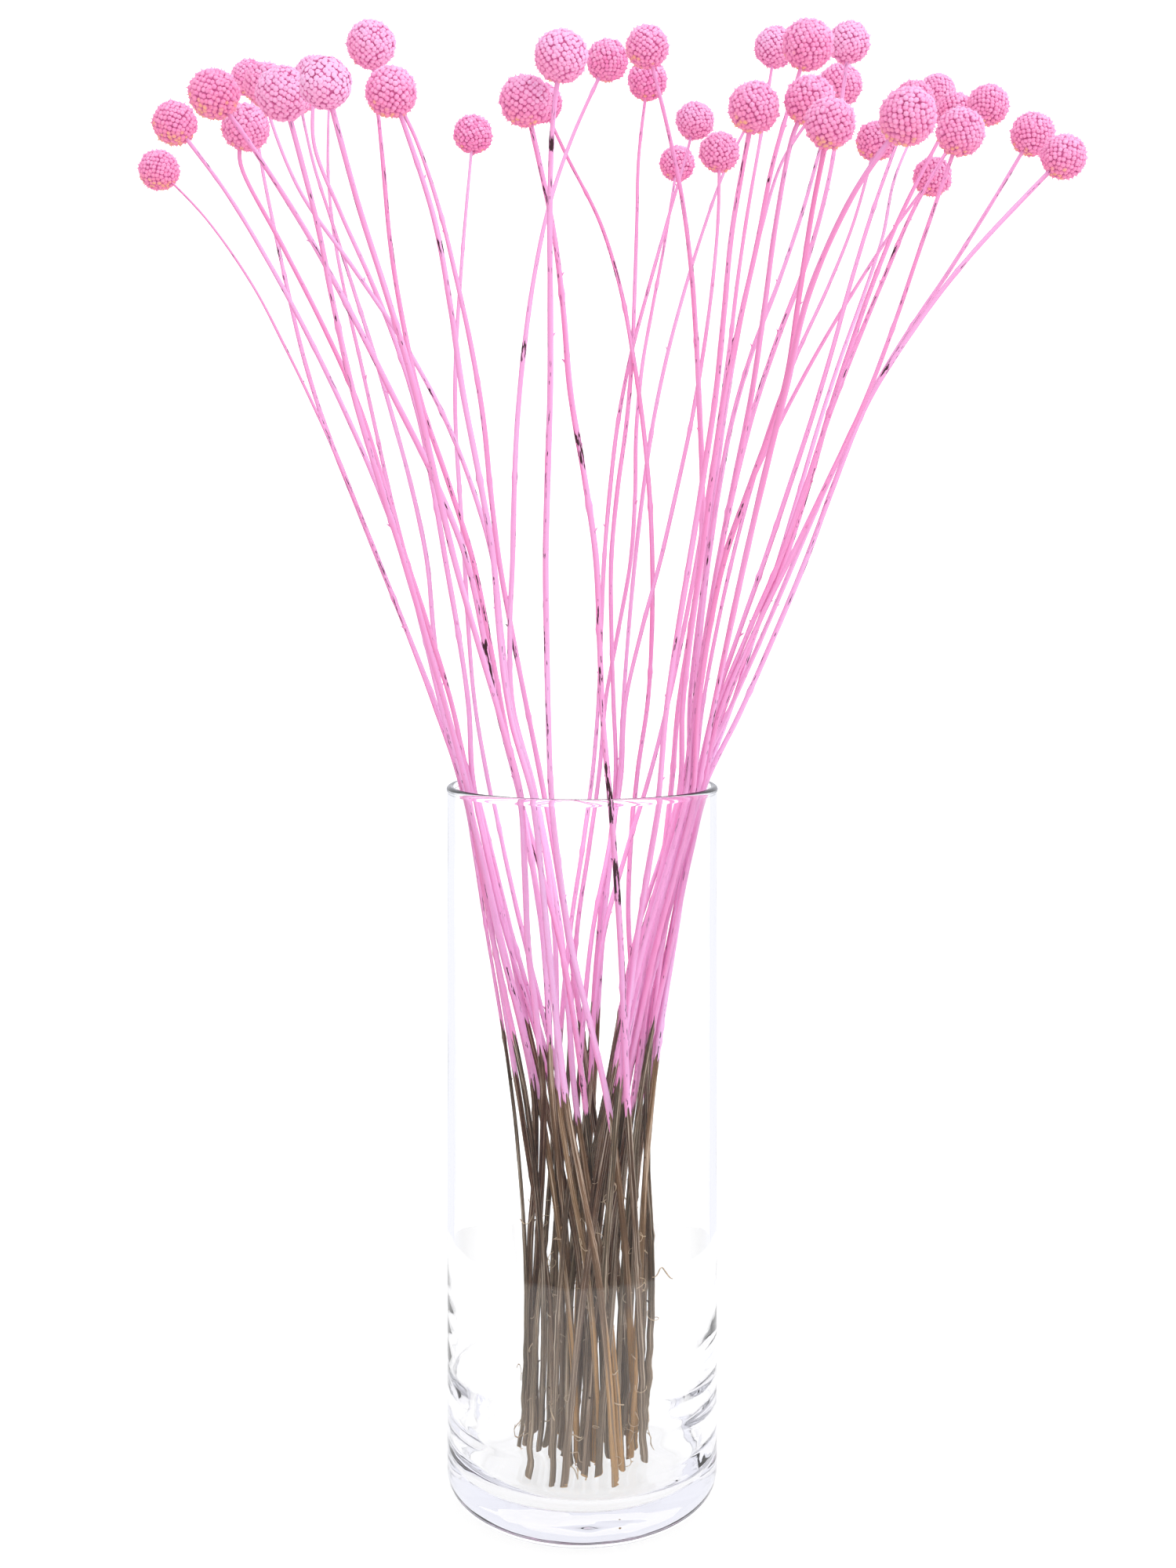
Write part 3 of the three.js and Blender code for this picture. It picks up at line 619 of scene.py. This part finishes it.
# %% Geometry Nodes: where the knobs stand
GOLDEN_ANGLE = math.pi * (3 - math.sqrt(5))
KNOB_SPREAD = 2.12 * MM
HEART_DEPTH = 1.5 * MM
UNEVENNESS = 0.02
STRAY = 0.038
SWAY = 0.2
BRISTLE_SHARE = 0.45
LOWEST_KNOB = 0.965
KNOB_SMALLEST, KNOB_LARGEST = (0.9, 0.9, 0.8), (1.13, 1.13, 1.2)
LUMP_STEP, LUMP_SCALE = 40.0, 1.5

head_tree, add, given = new_tree("Grow a flower head", {
    "Knob": "Object", "Bristle": "Object", "Knobs": "Int", "Knob spread": "Float", "Centre": "Vector",
    "Lean": "Vector", "Radius": "Float", "Seed": "Int", "Paint": "Material", "Heart": "Material",
    "Coat": "Float", "Tone": "Float", "Relief": "Float"})


def by_chance(low, high, kind="FLOAT", shift=0):
    """A random number or vector for each knob, from the head's own seed."""
    seed = add("ShaderNodeMath", {0: given["Seed"], 1: float(shift)})
    names = ("Min", "Max") if kind == "FLOAT_VECTOR" else (2, 3)
    return add("FunctionNodeRandomValue", {names[0]: low, names[1]: high, "Seed": seed}, data_type=kind)


number = add("GeometryNodeInputIndex")
half_on = add("ShaderNodeMath", {0: number, 1: 0.5})
share = add("ShaderNodeMath", {0: half_on, 1: given["Knobs"]}, operation="DIVIDE")
height = add("ShaderNodeMath", {0: share, 1: -2.0, 2: 1.0}, operation="MULTIPLY_ADD")
height_squared = add("ShaderNodeMath", {0: height, 1: height}, operation="MULTIPLY")
left_over = add("ShaderNodeMath", {0: 1.0, 1: height_squared}, operation="SUBTRACT")
girth = add("ShaderNodeMath", {0: left_over}, operation="SQRT")
turned = add("ShaderNodeMath", {0: number, 1: GOLDEN_ANGLE}, operation="MULTIPLY")
ways = [add("ShaderNodeMath", {0: turned}, operation=way) for way in ("COSINE", "SINE")]
across, deep = [add("ShaderNodeMath", {0: girth, 1: way}, operation="MULTIPLY") for way in ways]
on_ball = add("ShaderNodeCombineXYZ", {"X": across, "Y": deep, "Z": height})
off_ball = add("ShaderNodeVectorMath", {
    0: on_ball, 1: by_chance((-STRAY,) * 3, (STRAY,) * 3, "FLOAT_VECTOR")})
leaning = add("ShaderNodeVectorRotate", {"Vector": off_ball, "Rotation": given["Lean"]},
              rotation_type="EULER_XYZ")
points = add("GeometryNodePoints", {"Count": given["Knobs"], "Position": leaning})

# %% Geometry Nodes: what each knob remembers
here = add("GeometryNodeInputPosition")
# How squarely a knob faces the spray and the lamp, for the crown's colours, which are partly painted
# highlight and painted shade.
facing = add("ShaderNodeVectorMath", {0: here, 1: SPRAY_AND_LAMP_FROM}, operation="DOT_PRODUCT")
own_coat_and_light = add("ShaderNodeMath", {0: facing, 1: given["Coat"]})
marked = add("GeometryNodeStoreNamedAttribute", {
    "Geometry": points, "Name": "facing_spray", "Value": own_coat_and_light})
own_tone = add("ShaderNodeMath", {0: by_chance(0.0, 1.0, shift=100), 1: given["Tone"]},
               operation="MULTIPLY")
toned = add("GeometryNodeStoreNamedAttribute", {"Geometry": marked, "Name": "tone", "Value": own_tone})
swayed = add("ShaderNodeVectorMath", {
    0: here, 1: by_chance((-SWAY,) * 3, (SWAY,) * 3, "FLOAT_VECTOR", shift=200)})
outward = add("FunctionNodeAlignRotationToVector", {"Vector": swayed}, axis="Z")
own_spin = add("ShaderNodeCombineXYZ", {"Z": by_chance(0.0, 2 * math.pi, shift=300)})
turned_knob = add("FunctionNodeRotateRotation", {0: outward, 1: own_spin}, rotation_space="LOCAL")
with_turn = add("GeometryNodeStoreNamedAttribute", {
    "Geometry": toned, "Name": "turn", "Value": turned_knob}, data_type="QUATERNION")

# %% Geometry Nodes: knobs and bristles on an uneven ball
own_place = add("ShaderNodeVectorMath", {0: given["Centre"], 1: (LUMP_STEP,) * 3, 2: here},
                operation="MULTIPLY_ADD")
lumps = add("ShaderNodeTexNoise", {"Vector": own_place, "Scale": LUMP_SCALE, "Detail": 1.0})
lump = add("ShaderNodeMapRange", {"Value": lumps, "To Min": 1 - 3 * UNEVENNESS, "To Max": 1 + UNEVENNESS})
uneven = add("ShaderNodeMath", {0: lump, 1: by_chance(LOWEST_KNOB, 1.0, shift=400)}, operation="MULTIPLY")
knob_foot = add("ShaderNodeMath", {
    0: given["Knob spread"], 1: -KNOB_TIP, 2: given["Radius"]}, operation="MULTIPLY_ADD")
reach = add("ShaderNodeMath", {0: knob_foot, 1: uneven}, operation="MULTIPLY")
carried = add("ShaderNodeVectorMath", {0: here, "Scale": reach}, operation="SCALE")
placed = add("ShaderNodeVectorMath", {0: carried, 1: given["Centre"]})
moved = add("GeometryNodeSetPosition", {"Geometry": with_turn, "Position": placed})
kept_turn = add("GeometryNodeInputNamedAttribute", {"Name": "turn"}, data_type="QUATERNION")
any_size = add("ShaderNodeVectorMath", {
    0: by_chance(KNOB_SMALLEST, KNOB_LARGEST, "FLOAT_VECTOR", shift=500),
    "Scale": given["Knob spread"]}, operation="SCALE")
only_height = add("ShaderNodeCombineXYZ", {"X": 1.0, "Y": 1.0, "Z": given["Relief"]})
knob_size = add("ShaderNodeVectorMath", {0: any_size, 1: only_height}, operation="MULTIPLY")
has_bristle = add("FunctionNodeCompare", {
    "A": by_chance(0.0, 1.0, shift=600), "B": BRISTLE_SHARE}, operation="LESS_THAN")
florets = []
for shape, chosen in (("Knob", {}), ("Bristle", {"Selection": has_bristle})):
    model = add("GeometryNodeObjectInfo", {"Object": given[shape]}).outputs["Geometry"]
    florets.append(add("GeometryNodeInstanceOnPoints", {
        "Points": moved, "Instance": model, "Rotation": kept_turn, "Scale": knob_size, **chosen}))
grown = add("GeometryNodeJoinGeometry", {0: florets})
soft = add("GeometryNodeSetShadeSmooth", {"Geometry": finish(add, grown, given["Paint"])})
no_turn = add("GeometryNodeRemoveAttribute", {"Geometry": soft, "Name": "turn"})

# %% Geometry Nodes: the heart of the head, and all of it joined to the stem
heart_radius = add("ShaderNodeMath", {0: given["Radius"], 1: HEART_DEPTH}, operation="SUBTRACT")
ball = add("GeometryNodeMeshIcoSphere", {"Radius": heart_radius, "Subdivisions": 3})
seated = add("GeometryNodeTransform", {"Geometry": ball, "Translation": given["Centre"]})
heart = finish(add, seated, given["Heart"])
flower = add("GeometryNodeJoinGeometry", {0: [heart, no_turn, given["Geometry"]]})
add("NodeGroupOutput", {"Geometry": flower})
print("nodes in the head's tree:", len(head_tree.nodes))

# %% [markdown]
# ## Forty-three flowers
# Each flower starts as a bare polyline with a thickness at every point. A dried stem hardly thins until
# close under its head, so it is made a little fuller there than it was packed. Three modifiers grow it,
# first the stem, then its fibres and then the head, and their inputs are set by the socket's own
# identifier before the flower is looked at for the first time. The result is then made a plain mesh, so
# that nothing depends on the nodes any more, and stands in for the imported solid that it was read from.
# No two heads took the same spray: some got little of it, some a thick coat that smooths their knobs,
# and on one it ran. A few stems were knocked as well, and lost a longer piece of paint.

# %% What sets single flowers apart
THIN_SPRAY = {"Coat": -0.45, "Tone": 1.0, "Relief": 1.0}
EVEN_SPRAY = {"Coat": 0.0, "Tone": 1.0, "Relief": 1.0}
RICH_SPRAY = {"Coat": 0.1, "Tone": 1.7, "Relief": 0.9}
THICK_SPRAY = {"Coat": 0.45, "Tone": 0.5, "Relief": 0.85}
RUNNING_SPRAY = {"Coat": 0.7, "Tone": 0.35, "Relief": 0.5}
OWN_SPRAY = {
    **dict.fromkeys((1, 2, 3, 36), THIN_SPRAY),
    **dict.fromkeys((5, 15, 18, 19, 21, 23), RICH_SPRAY),
    **dict.fromkeys((7, 10, 12, 17, 22, 27, 29), THICK_SPRAY),
    9: RUNNING_SPRAY}
# for each knocked stem, the height of every knock and the length of paint that it loosened, in mm
KNOCKS = {
    3: [(360, 38)], 5: [(569, 7)], 13: [(539, 7)], 14: [(374, 7)], 16: [(457, 16), (318, 26), (280, 20)],
    17: [(578, 10)], 18: [(558, 12), (397, 7)], 19: [(513, 10)], 29: [(445, 8)], 43: [(502, 15)]}

# %% From a packed course to a grown flower
PAINT_LINE = 0.176
PAINT_LINE_SPREAD = 0.022
FULLEST_AT = 0.5
FULLER_REACH = 0.14
FULLER_SHARE = 0.24
HEXAGON_SHARE = math.sqrt(3) / 2


def add_growth(piece, node_tree, **values):
    """Adds a Geometry Nodes modifier and sets its inputs, each by its socket's identifier."""
    modifier = piece.modifiers.new(node_tree.name, "NODES")
    modifier.node_group = node_tree
    sockets = {s.name: s.identifier for s in node_tree.interface.items_tree if s.in_out == "INPUT"}
    for name, value in values.items():
        modifier[sockets[name.replace("_", " ")]] = value


def grow_flower(flower, number, chance):
    """One flower as a plain mesh: its stem, its head's knobs and the heart under them."""
    points = flower["points"] + [flower["centre"]]
    mesh = bpy.data.meshes.new(flower["name"])
    mesh.from_pydata([tuple(p) for p in points], [(i, i + 1) for i in range(len(points) - 1)], [])
    thickness = mesh.attributes.new("thickness", "FLOAT", "POINT")
    radii = [radius * (1 + FULLER_SHARE * max(1 - ((point[2] - FULLEST_AT) / FULLER_REACH) ** 2, 0))
             for radius, point in zip(flower["radii"], points)]
    thickness.data.foreach_set("value", radii + [radii[-1]])
    piece = add_object("flower_" + flower["name"][-2:], mesh)

    cut_way = chance.uniform(0, 2 * math.pi)
    add_growth(piece, stem_tree, Ring_spacing=RING_SPACING, Sides=STEM_SIDES, Knot_spacing=KNOT_SPACING,
               Stub_spacing=STUB_SPACING, Stem_number=float(number), Seed=number, Finish=stem_finish,
               Paint_line=PAINT_LINE + PAINT_LINE_SPREAD * chance.uniform(-1, 1),
               Cut=(math.cos(cut_way), math.sin(cut_way), 0.0))
    add_growth(piece, fibre_tree, Fibres_per_square_metre=FIBRES_PER_SQUARE_METRE, Highest=FIBRE_REACH,
               Curl=FIBRE_CURL, Seed=number, Fibre=fibre_finish)
    up_the_stem = Vector(flower["centre"]) - Vector(flower["points"][-1])
    knob_ball = 4 * math.pi * (flower["radius"] - KNOB_TIP * KNOB_SPREAD) ** 2
    add_growth(piece, head_tree, Knob=knob, Bristle=bristle,
               Knobs=int(knob_ball / (HEXAGON_SHARE * KNOB_SPREAD ** 2)), Knob_spread=KNOB_SPREAD,
               Centre=tuple(flower["centre"]), Radius=float(flower["radius"]),
               Lean=tuple(up_the_stem.to_track_quat("Z", "Y").to_euler()), Seed=number,
               Paint=floret_paint, Heart=heart_with_painted_shade, **OWN_SPRAY.get(number, EVEN_SPRAY))

    graph = bpy.context.evaluated_depsgraph_get()
    grown = bpy.data.meshes.new_from_object(piece.evaluated_get(graph), preserve_all_data_layers=True,
                                            depsgraph=graph)
    piece.modifiers.clear()
    piece.data = grown
    knocked = grown.attributes.new("knocked", "FLOAT", "POINT")
    for height, length in KNOCKS.get(number, []):
        for index, vertex in enumerate(grown.vertices):
            if abs(vertex.co.z / MM - height) < length / 2:
                knocked.data[index].value = 1.0
    return piece


# %% Grow every flower
CHANCE_SEED = 7
chance = np.random.default_rng(CHANCE_SEED)
pieces = []
for number, flower in enumerate(flowers, start=1):
    piece = grow_flower(flower, number, chance)
    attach(piece, "root")
    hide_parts(flower["name"])
    pieces.append(piece)
for model in (knob, bristle):
    bpy.data.objects.remove(model)
triangles = sum(len(p.vertices) - 2 for piece in pieces for p in piece.data.polygons)
print("flowers grown:", len(pieces), "triangles:", triangles)

# %% [markdown]
# ## The vase
# The cylinder is mould-blown soda glass with a thick, heavy foot and a fire-polished rim, whose lip
# swelled a little as it melted. Its section is drawn once, up the outside and down the inside, with true
# arcs at heel, rim and well, and turned about the axis. Smooth shading would bend light wherever a long
# wall meets a tight arc, so the wall has short steps next to each arc. Blown glass is never quite even:
# the wall thickens towards the foot, its inside ripples there, most of all at the two seams of the
# mould, and the bed and the underside sink and rise by a fraction of a millimetre.

# %% Glass cylinder: its sizes
VASE_HEIGHT = 315 * MM
VASE_RADIUS = 60 * MM
WALL = 3 * MM
FLOOR = 13.5 * MM
HEEL = 13 * MM
INNER_HEEL = 15 * MM
LIP = 1.75 * MM
TURNS = 144
ARC_STEPS = 12
WALL_STEPS = 110
SHORT_STEPS = [0.3 * MM, 0.8 * MM, 2.0 * MM]
THICKENING = 7 * MM
THICKENING_REACH = 95 * MM
RIPPLE_DEPTH = 2.0 * MM
RIPPLE_LENGTH = 60 * MM
RIPPLE_HEIGHT = 9 * MM
RIPPLE_START = 65 * MM
RIPPLE_FADE = 50 * MM
EVEN_GLASS = 0.15
BED_RINGS = 12
BED_WAVE_DEPTH = 0.35 * MM
BED_WAVE_LENGTH = 26 * MM
BED_EDGE_STEEPNESS = 4
PUSH_UP = 0.15 * MM

# %% Glass cylinder: arcs and walls


def arc(centre, radius, start, end):
    """The points of an arc of the vase's section, as radius and height."""
    angles = [start + (end - start) * i / ARC_STEPS for i in range(ARC_STEPS + 1)]
    return [(centre[0] + radius * math.cos(a), centre[1] + radius * math.sin(a)) for a in angles]


def wall_heights(low, high):
    """The heights of a wall's rings between two arcs, closer together at its ends."""
    start, end = low + SHORT_STEPS[-1], high - SHORT_STEPS[-1]
    middle = [start + (end - start) * i / WALL_STEPS for i in range(WALL_STEPS + 1)]
    ends = [low + step for step in SHORT_STEPS[:-1]] + [high - step for step in SHORT_STEPS[:-1]]
    return sorted(middle + ends)


def thickening(height):
    """How much thicker the wall is at this height than higher up, towards the heavy foot."""
    return THICKENING * max(1 - height / THICKENING_REACH, 0) ** 2


# %% Glass cylinder: its section


def vase_section():
    """The section from the underside out, up, over the rim, down and in, and where its inside starts."""
    inner = VASE_RADIUS - WALL
    lip_centre = (inner + LIP, VASE_HEIGHT - LIP)
    neck = VASE_RADIUS - lip_centre[0]
    outer_start = -math.acos(neck / LIP)
    lip_foot = lip_centre[1] + LIP * math.sin(outer_start)
    heel = arc((VASE_RADIUS - HEEL, HEEL), HEEL, -math.pi / 2, 0)
    outside = [(VASE_RADIUS, h) for h in wall_heights(HEEL, lip_foot)]
    rim = arc(lip_centre, LIP, outer_start, math.pi)
    inside = [(inner - thickening(h), h) for h in reversed(wall_heights(FLOOR + INNER_HEEL, lip_centre[1]))]
    well = arc((inside[-1][0] - INNER_HEEL, FLOOR + INNER_HEEL), INNER_HEEL, 0, -math.pi / 2)
    edge = well[-1][0]
    bed = [(edge * (1 - i / BED_RINGS), FLOOR) for i in range(1, BED_RINGS)]
    underside = [((VASE_RADIUS - HEEL) * i / BED_RINGS, 0) for i in range(1, BED_RINGS)]
    outer = underside + heel + outside + rim
    return outer + inside + well + bed, len(outer)


# %% Glass cylinder: its uneven surface


def ripple(angle, height):
    """How far the inside of the wall swells inwards here: low rings that fade out up the wall."""
    fade = min(max((height - RIPPLE_START) / RIPPLE_FADE, 0), 1)
    spot = Vector((math.cos(angle), math.sin(angle), 0)) * VASE_RADIUS / RIPPLE_LENGTH
    spot.z = height / RIPPLE_HEIGHT
    by_the_seam = EVEN_GLASS + (1 - EVEN_GLASS) * math.cos(angle) ** 2
    return RIPPLE_DEPTH * by_the_seam * (1 - fade) ** 2 * noise.noise(spot)


def sag(x, y, height):
    """How far the underside is pushed up, or the bed of the vase sinks, at this spot of the thick foot."""
    from_edge = 1 - min(math.hypot(x, y) / (VASE_RADIUS - HEEL), 1)
    wave = noise.noise(Vector((x, y, 5 * height)) / BED_WAVE_LENGTH)
    if height < MM:
        return from_edge * (PUSH_UP + BED_WAVE_DEPTH * wave)
    return -BED_WAVE_DEPTH * (0.5 + wave) * min(BED_EDGE_STEEPNESS * from_edge, 1)


# %% Glass cylinder: turned and closed


def turn_section(name, section, inside=None):
    """A section turned about the upright axis and closed in the middle, with rippled glass from inside on."""
    mesh = bpy.data.meshes.new(name)
    shape = bmesh.new()
    angles = [2 * math.pi * i / TURNS for i in range(TURNS)]
    rings = []
    for step, (radius, height) in enumerate(section):
        rippled = inside is not None and step >= inside
        around = [radius - (ripple(a, height) if rippled else 0) for a in angles]
        corners = [(r * math.cos(a), r * math.sin(a)) for r, a in zip(around, angles)]
        on_bed = rippled and step > inside and abs(height - FLOOR) < SAME_LEVEL
        uneven = inside is not None and (height < MM or on_bed)
        rings.append([shape.verts.new((x, y, height + (sag(x, y, height) if uneven else 0)))
                      for x, y in corners])
    join_rings(shape, rings)
    for ring, height in ((rings[0], section[0][1]), (rings[-1], section[-1][1])):
        middle = shape.verts.new((0, 0, height + (sag(0, 0, height) if inside is not None else 0)))
        for i in range(TURNS):
            shape.faces.new((middle, ring[i], ring[(i + 1) % TURNS]))
    bmesh.ops.recalc_face_normals(shape, faces=shape.faces)
    for polygon in shape.faces:
        polygon.smooth = True
    shape.to_mesh(mesh)
    shape.free()
    return add_object(name, mesh)


vase = turn_section("glass_cylinder", *vase_section())
print("faces on the vase:", len(vase.data.polygons))

# %% [markdown]
# ## Clear glass
# Soda glass bends light by about one and a half times and takes a little of it on the way. Through a
# three-millimetre wall nothing shows, but at the edges the eye looks along the wall through centimetres
# of it, so they draw themselves as cool grey lines. The foot is thick, and is greyer for the same
# reason. A faint relief stands for the finest unevenness, again most of all round the foot.

# %% Material: blown soda glass
GLASS_TINT = "#dbdae5"
TINT_PER_METRE = 3.2
FINE_RIPPLE = 16.0
FINE_RIPPLE_DEPTH = 0.5 * MM
DRAWN_UP = 0.35
FOOT_TOP, CLEAR_FROM = 0.02, 0.1
RELIEF_AT_FOOT, RELIEF_ABOVE = 0.6, 0.12
glass, add, shader = new_material("Blown soda-lime glass")
place = add("ShaderNodeTexCoord").outputs["Object"]
drawn_up = add("ShaderNodeMapping", {"Vector": place, "Scale": (1.0, 1.0, DRAWN_UP)})
ripples = add("ShaderNodeTexNoise", {"Vector": drawn_up, "Scale": 1000 / FINE_RIPPLE, "Detail": 1.0})
height = add("ShaderNodeSeparateXYZ", {0: place}).outputs["Z"]
near_foot = add("ShaderNodeMapRange", {
    "Value": height, "From Min": FOOT_TOP, "From Max": CLEAR_FROM, "To Min": RELIEF_AT_FOOT,
    "To Max": RELIEF_ABOVE})
relief = add("ShaderNodeBump", {"Height": ripples, "Strength": near_foot, "Distance": FINE_RIPPLE_DEPTH})
feed(shader, {"Base Color": "#ffffff", "Transmission Weight": 1.0, "Roughness": 0.0, "IOR": 1.45,
              "Normal": relief})
tint = add("ShaderNodeVolumeAbsorption", {"Color": GLASS_TINT, "Density": TINT_PER_METRE})
output = next(node for node in glass.node_tree.nodes if node.type == "OUTPUT_MATERIAL")
feed(output, {"Volume": tint})
vase.data.materials.append(glass)
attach(vase, "root")
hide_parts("vase")

# %% [markdown]
# ## Studio
# The bunch stands on a round white table lit from below, a little less at its front, under soft light
# from everywhere, with one large lamp above the side that was sprayed. Glass has no colour of its own,
# only what it mirrors and lets through. Straight through it the studio is white. In mirrors the wall
# behind the table and the ceiling are white, and the rest is dim, as between black cards: that keeps the
# bark dark behind the glass, and draws the streaks at its foot. Light that real glass passes along its
# walls to the stems would take many bounces, so what is behind glass gets a little more light instead.
# Nothing in the studio is part of the object.

# %% Table
TABLE_RADIUS = 0.353
TABLE_THICKNESS = 4 * MM
TABLE_GAP = 0.05 * MM
FRONT_FROM, FRONT_TO = -0.08, -0.26
LIT, LIT_IN_FRONT = 0.9, 0.8

table = turn_section("studio_table", [
    (TABLE_RADIUS, -TABLE_THICKNESS), (TABLE_RADIUS, -TABLE_GAP), (0.5 * TABLE_RADIUS, -TABLE_GAP)])
table_top, add, shader = new_material("White acrylic table, lit from below")
place = add("ShaderNodeTexCoord").outputs["Object"]
depth = add("ShaderNodeSeparateXYZ", {0: place}).outputs["Y"]
lit_from_below = add("ShaderNodeMapRange", {
    "Value": depth, "From Min": FRONT_TO, "From Max": FRONT_FROM, "To Min": LIT_IN_FRONT, "To Max": LIT})
feed(shader, {"Base Color": "#606060", "Roughness": 0.9, "Specular IOR Level": 0.1,
              "Emission Color": "#ffffff", "Emission Strength": lit_from_below})
table.data.materials.append(table_top)

# %% Soft light from everywhere
WHITE_BEHIND = 1.45
SOFT_LIGHT = 1.17
LIGHT_THROUGH_GLASS = 1.65
BRIGHTER_SIDE = (0.26, 0.0, 0.14)
DIM, MIRRORED_WALL, MIRRORED_CEILING = 0.24, 1.08, 1.1
WALL_FROM, WALL_TO = 0.4, 0.8
CEILING_FROM, CEILING_TO = -0.08, 0.25
world = bpy.data.worlds.new("white_studio")
world.use_nodes = True
add = partial(add_node, world.node_tree)
ray = add("ShaderNodeLightPath").outputs
direction = add("ShaderNodeTexCoord").outputs["Generated"]
towards = add("ShaderNodeSeparateXYZ", {0: direction}).outputs
brighter_side = add("ShaderNodeVectorMath", {0: direction, 1: BRIGHTER_SIDE}, operation="DOT_PRODUCT")
soft_light = add("ShaderNodeMath", {0: brighter_side, 1: SOFT_LIGHT})
white_wall = add("ShaderNodeMapRange", {
    "Value": towards["Y"], "From Min": WALL_FROM, "From Max": WALL_TO, "To Min": DIM,
    "To Max": MIRRORED_WALL}, interpolation_type="SMOOTHSTEP")
white_ceiling = add("ShaderNodeMapRange", {
    "Value": towards["Z"], "From Min": CEILING_FROM, "From Max": CEILING_TO, "To Min": DIM,
    "To Max": MIRRORED_CEILING})
in_mirrors = add("ShaderNodeMath", {0: white_wall, 1: white_ceiling}, operation="MAXIMUM")
was_mirrored, through_glass, was_scattered = [
    add("ShaderNodeMath", {0: ray[depth], 1: 0.5}, operation="GREATER_THAN")
    for depth in ("Glossy Depth", "Transmission Depth", "Diffuse Depth")]
more_light = add("ShaderNodeMapRange", {
    "Value": through_glass, "To Min": 1.0, "To Max": LIGHT_THROUGH_GLASS})
light_there = add("ShaderNodeMath", {0: soft_light, 1: more_light}, operation="MULTIPLY")
behind = add("ShaderNodeMix", {0: was_mirrored, 2: WHITE_BEHIND, 3: in_mirrors})
seen = add("ShaderNodeMix", {0: was_scattered, 2: behind, 3: light_there})
cast = lay_over(add, "#ffffff", [(was_mirrored, "#f1f2f9")])
feed(world.node_tree.nodes["Background"], {"Strength": seen, "Color": cast})
bpy.context.scene.world = world
print("nodes in the studio's light:", len(world.node_tree.nodes))

# %% Large lamp, and how often light may turn
LAMP_WIDTH = 0.9
LAMP_POWER = 2.0
LAMP_AT = (0.55, -0.9, 1.4)
LAMP_AIM = (0.0, 0.0, 0.5)
LIGHT_BOUNCES = 24
MIRROR_BOUNCES = 12
lamp_data = bpy.data.lights.new("soft_lamp", "AREA")
lamp_data.shape = "DISK"
lamp_data.size = LAMP_WIDTH
lamp_data.energy = LAMP_POWER
lamp = add_object("soft_lamp", lamp_data)
lamp.location = LAMP_AT
lamp.rotation_euler = (Vector(LAMP_AIM) - lamp.location).to_track_quat("-Z", "Y").to_euler()
bpy.context.scene.view_settings.view_transform = "Standard"
cycles = bpy.context.scene.cycles
cycles.max_bounces = cycles.transmission_bounces = LIGHT_BOUNCES
cycles.glossy_bounces = MIRROR_BOUNCES
print("light turns at most", cycles.max_bounces, "times, and", cycles.glossy_bounces, "times in mirrors")
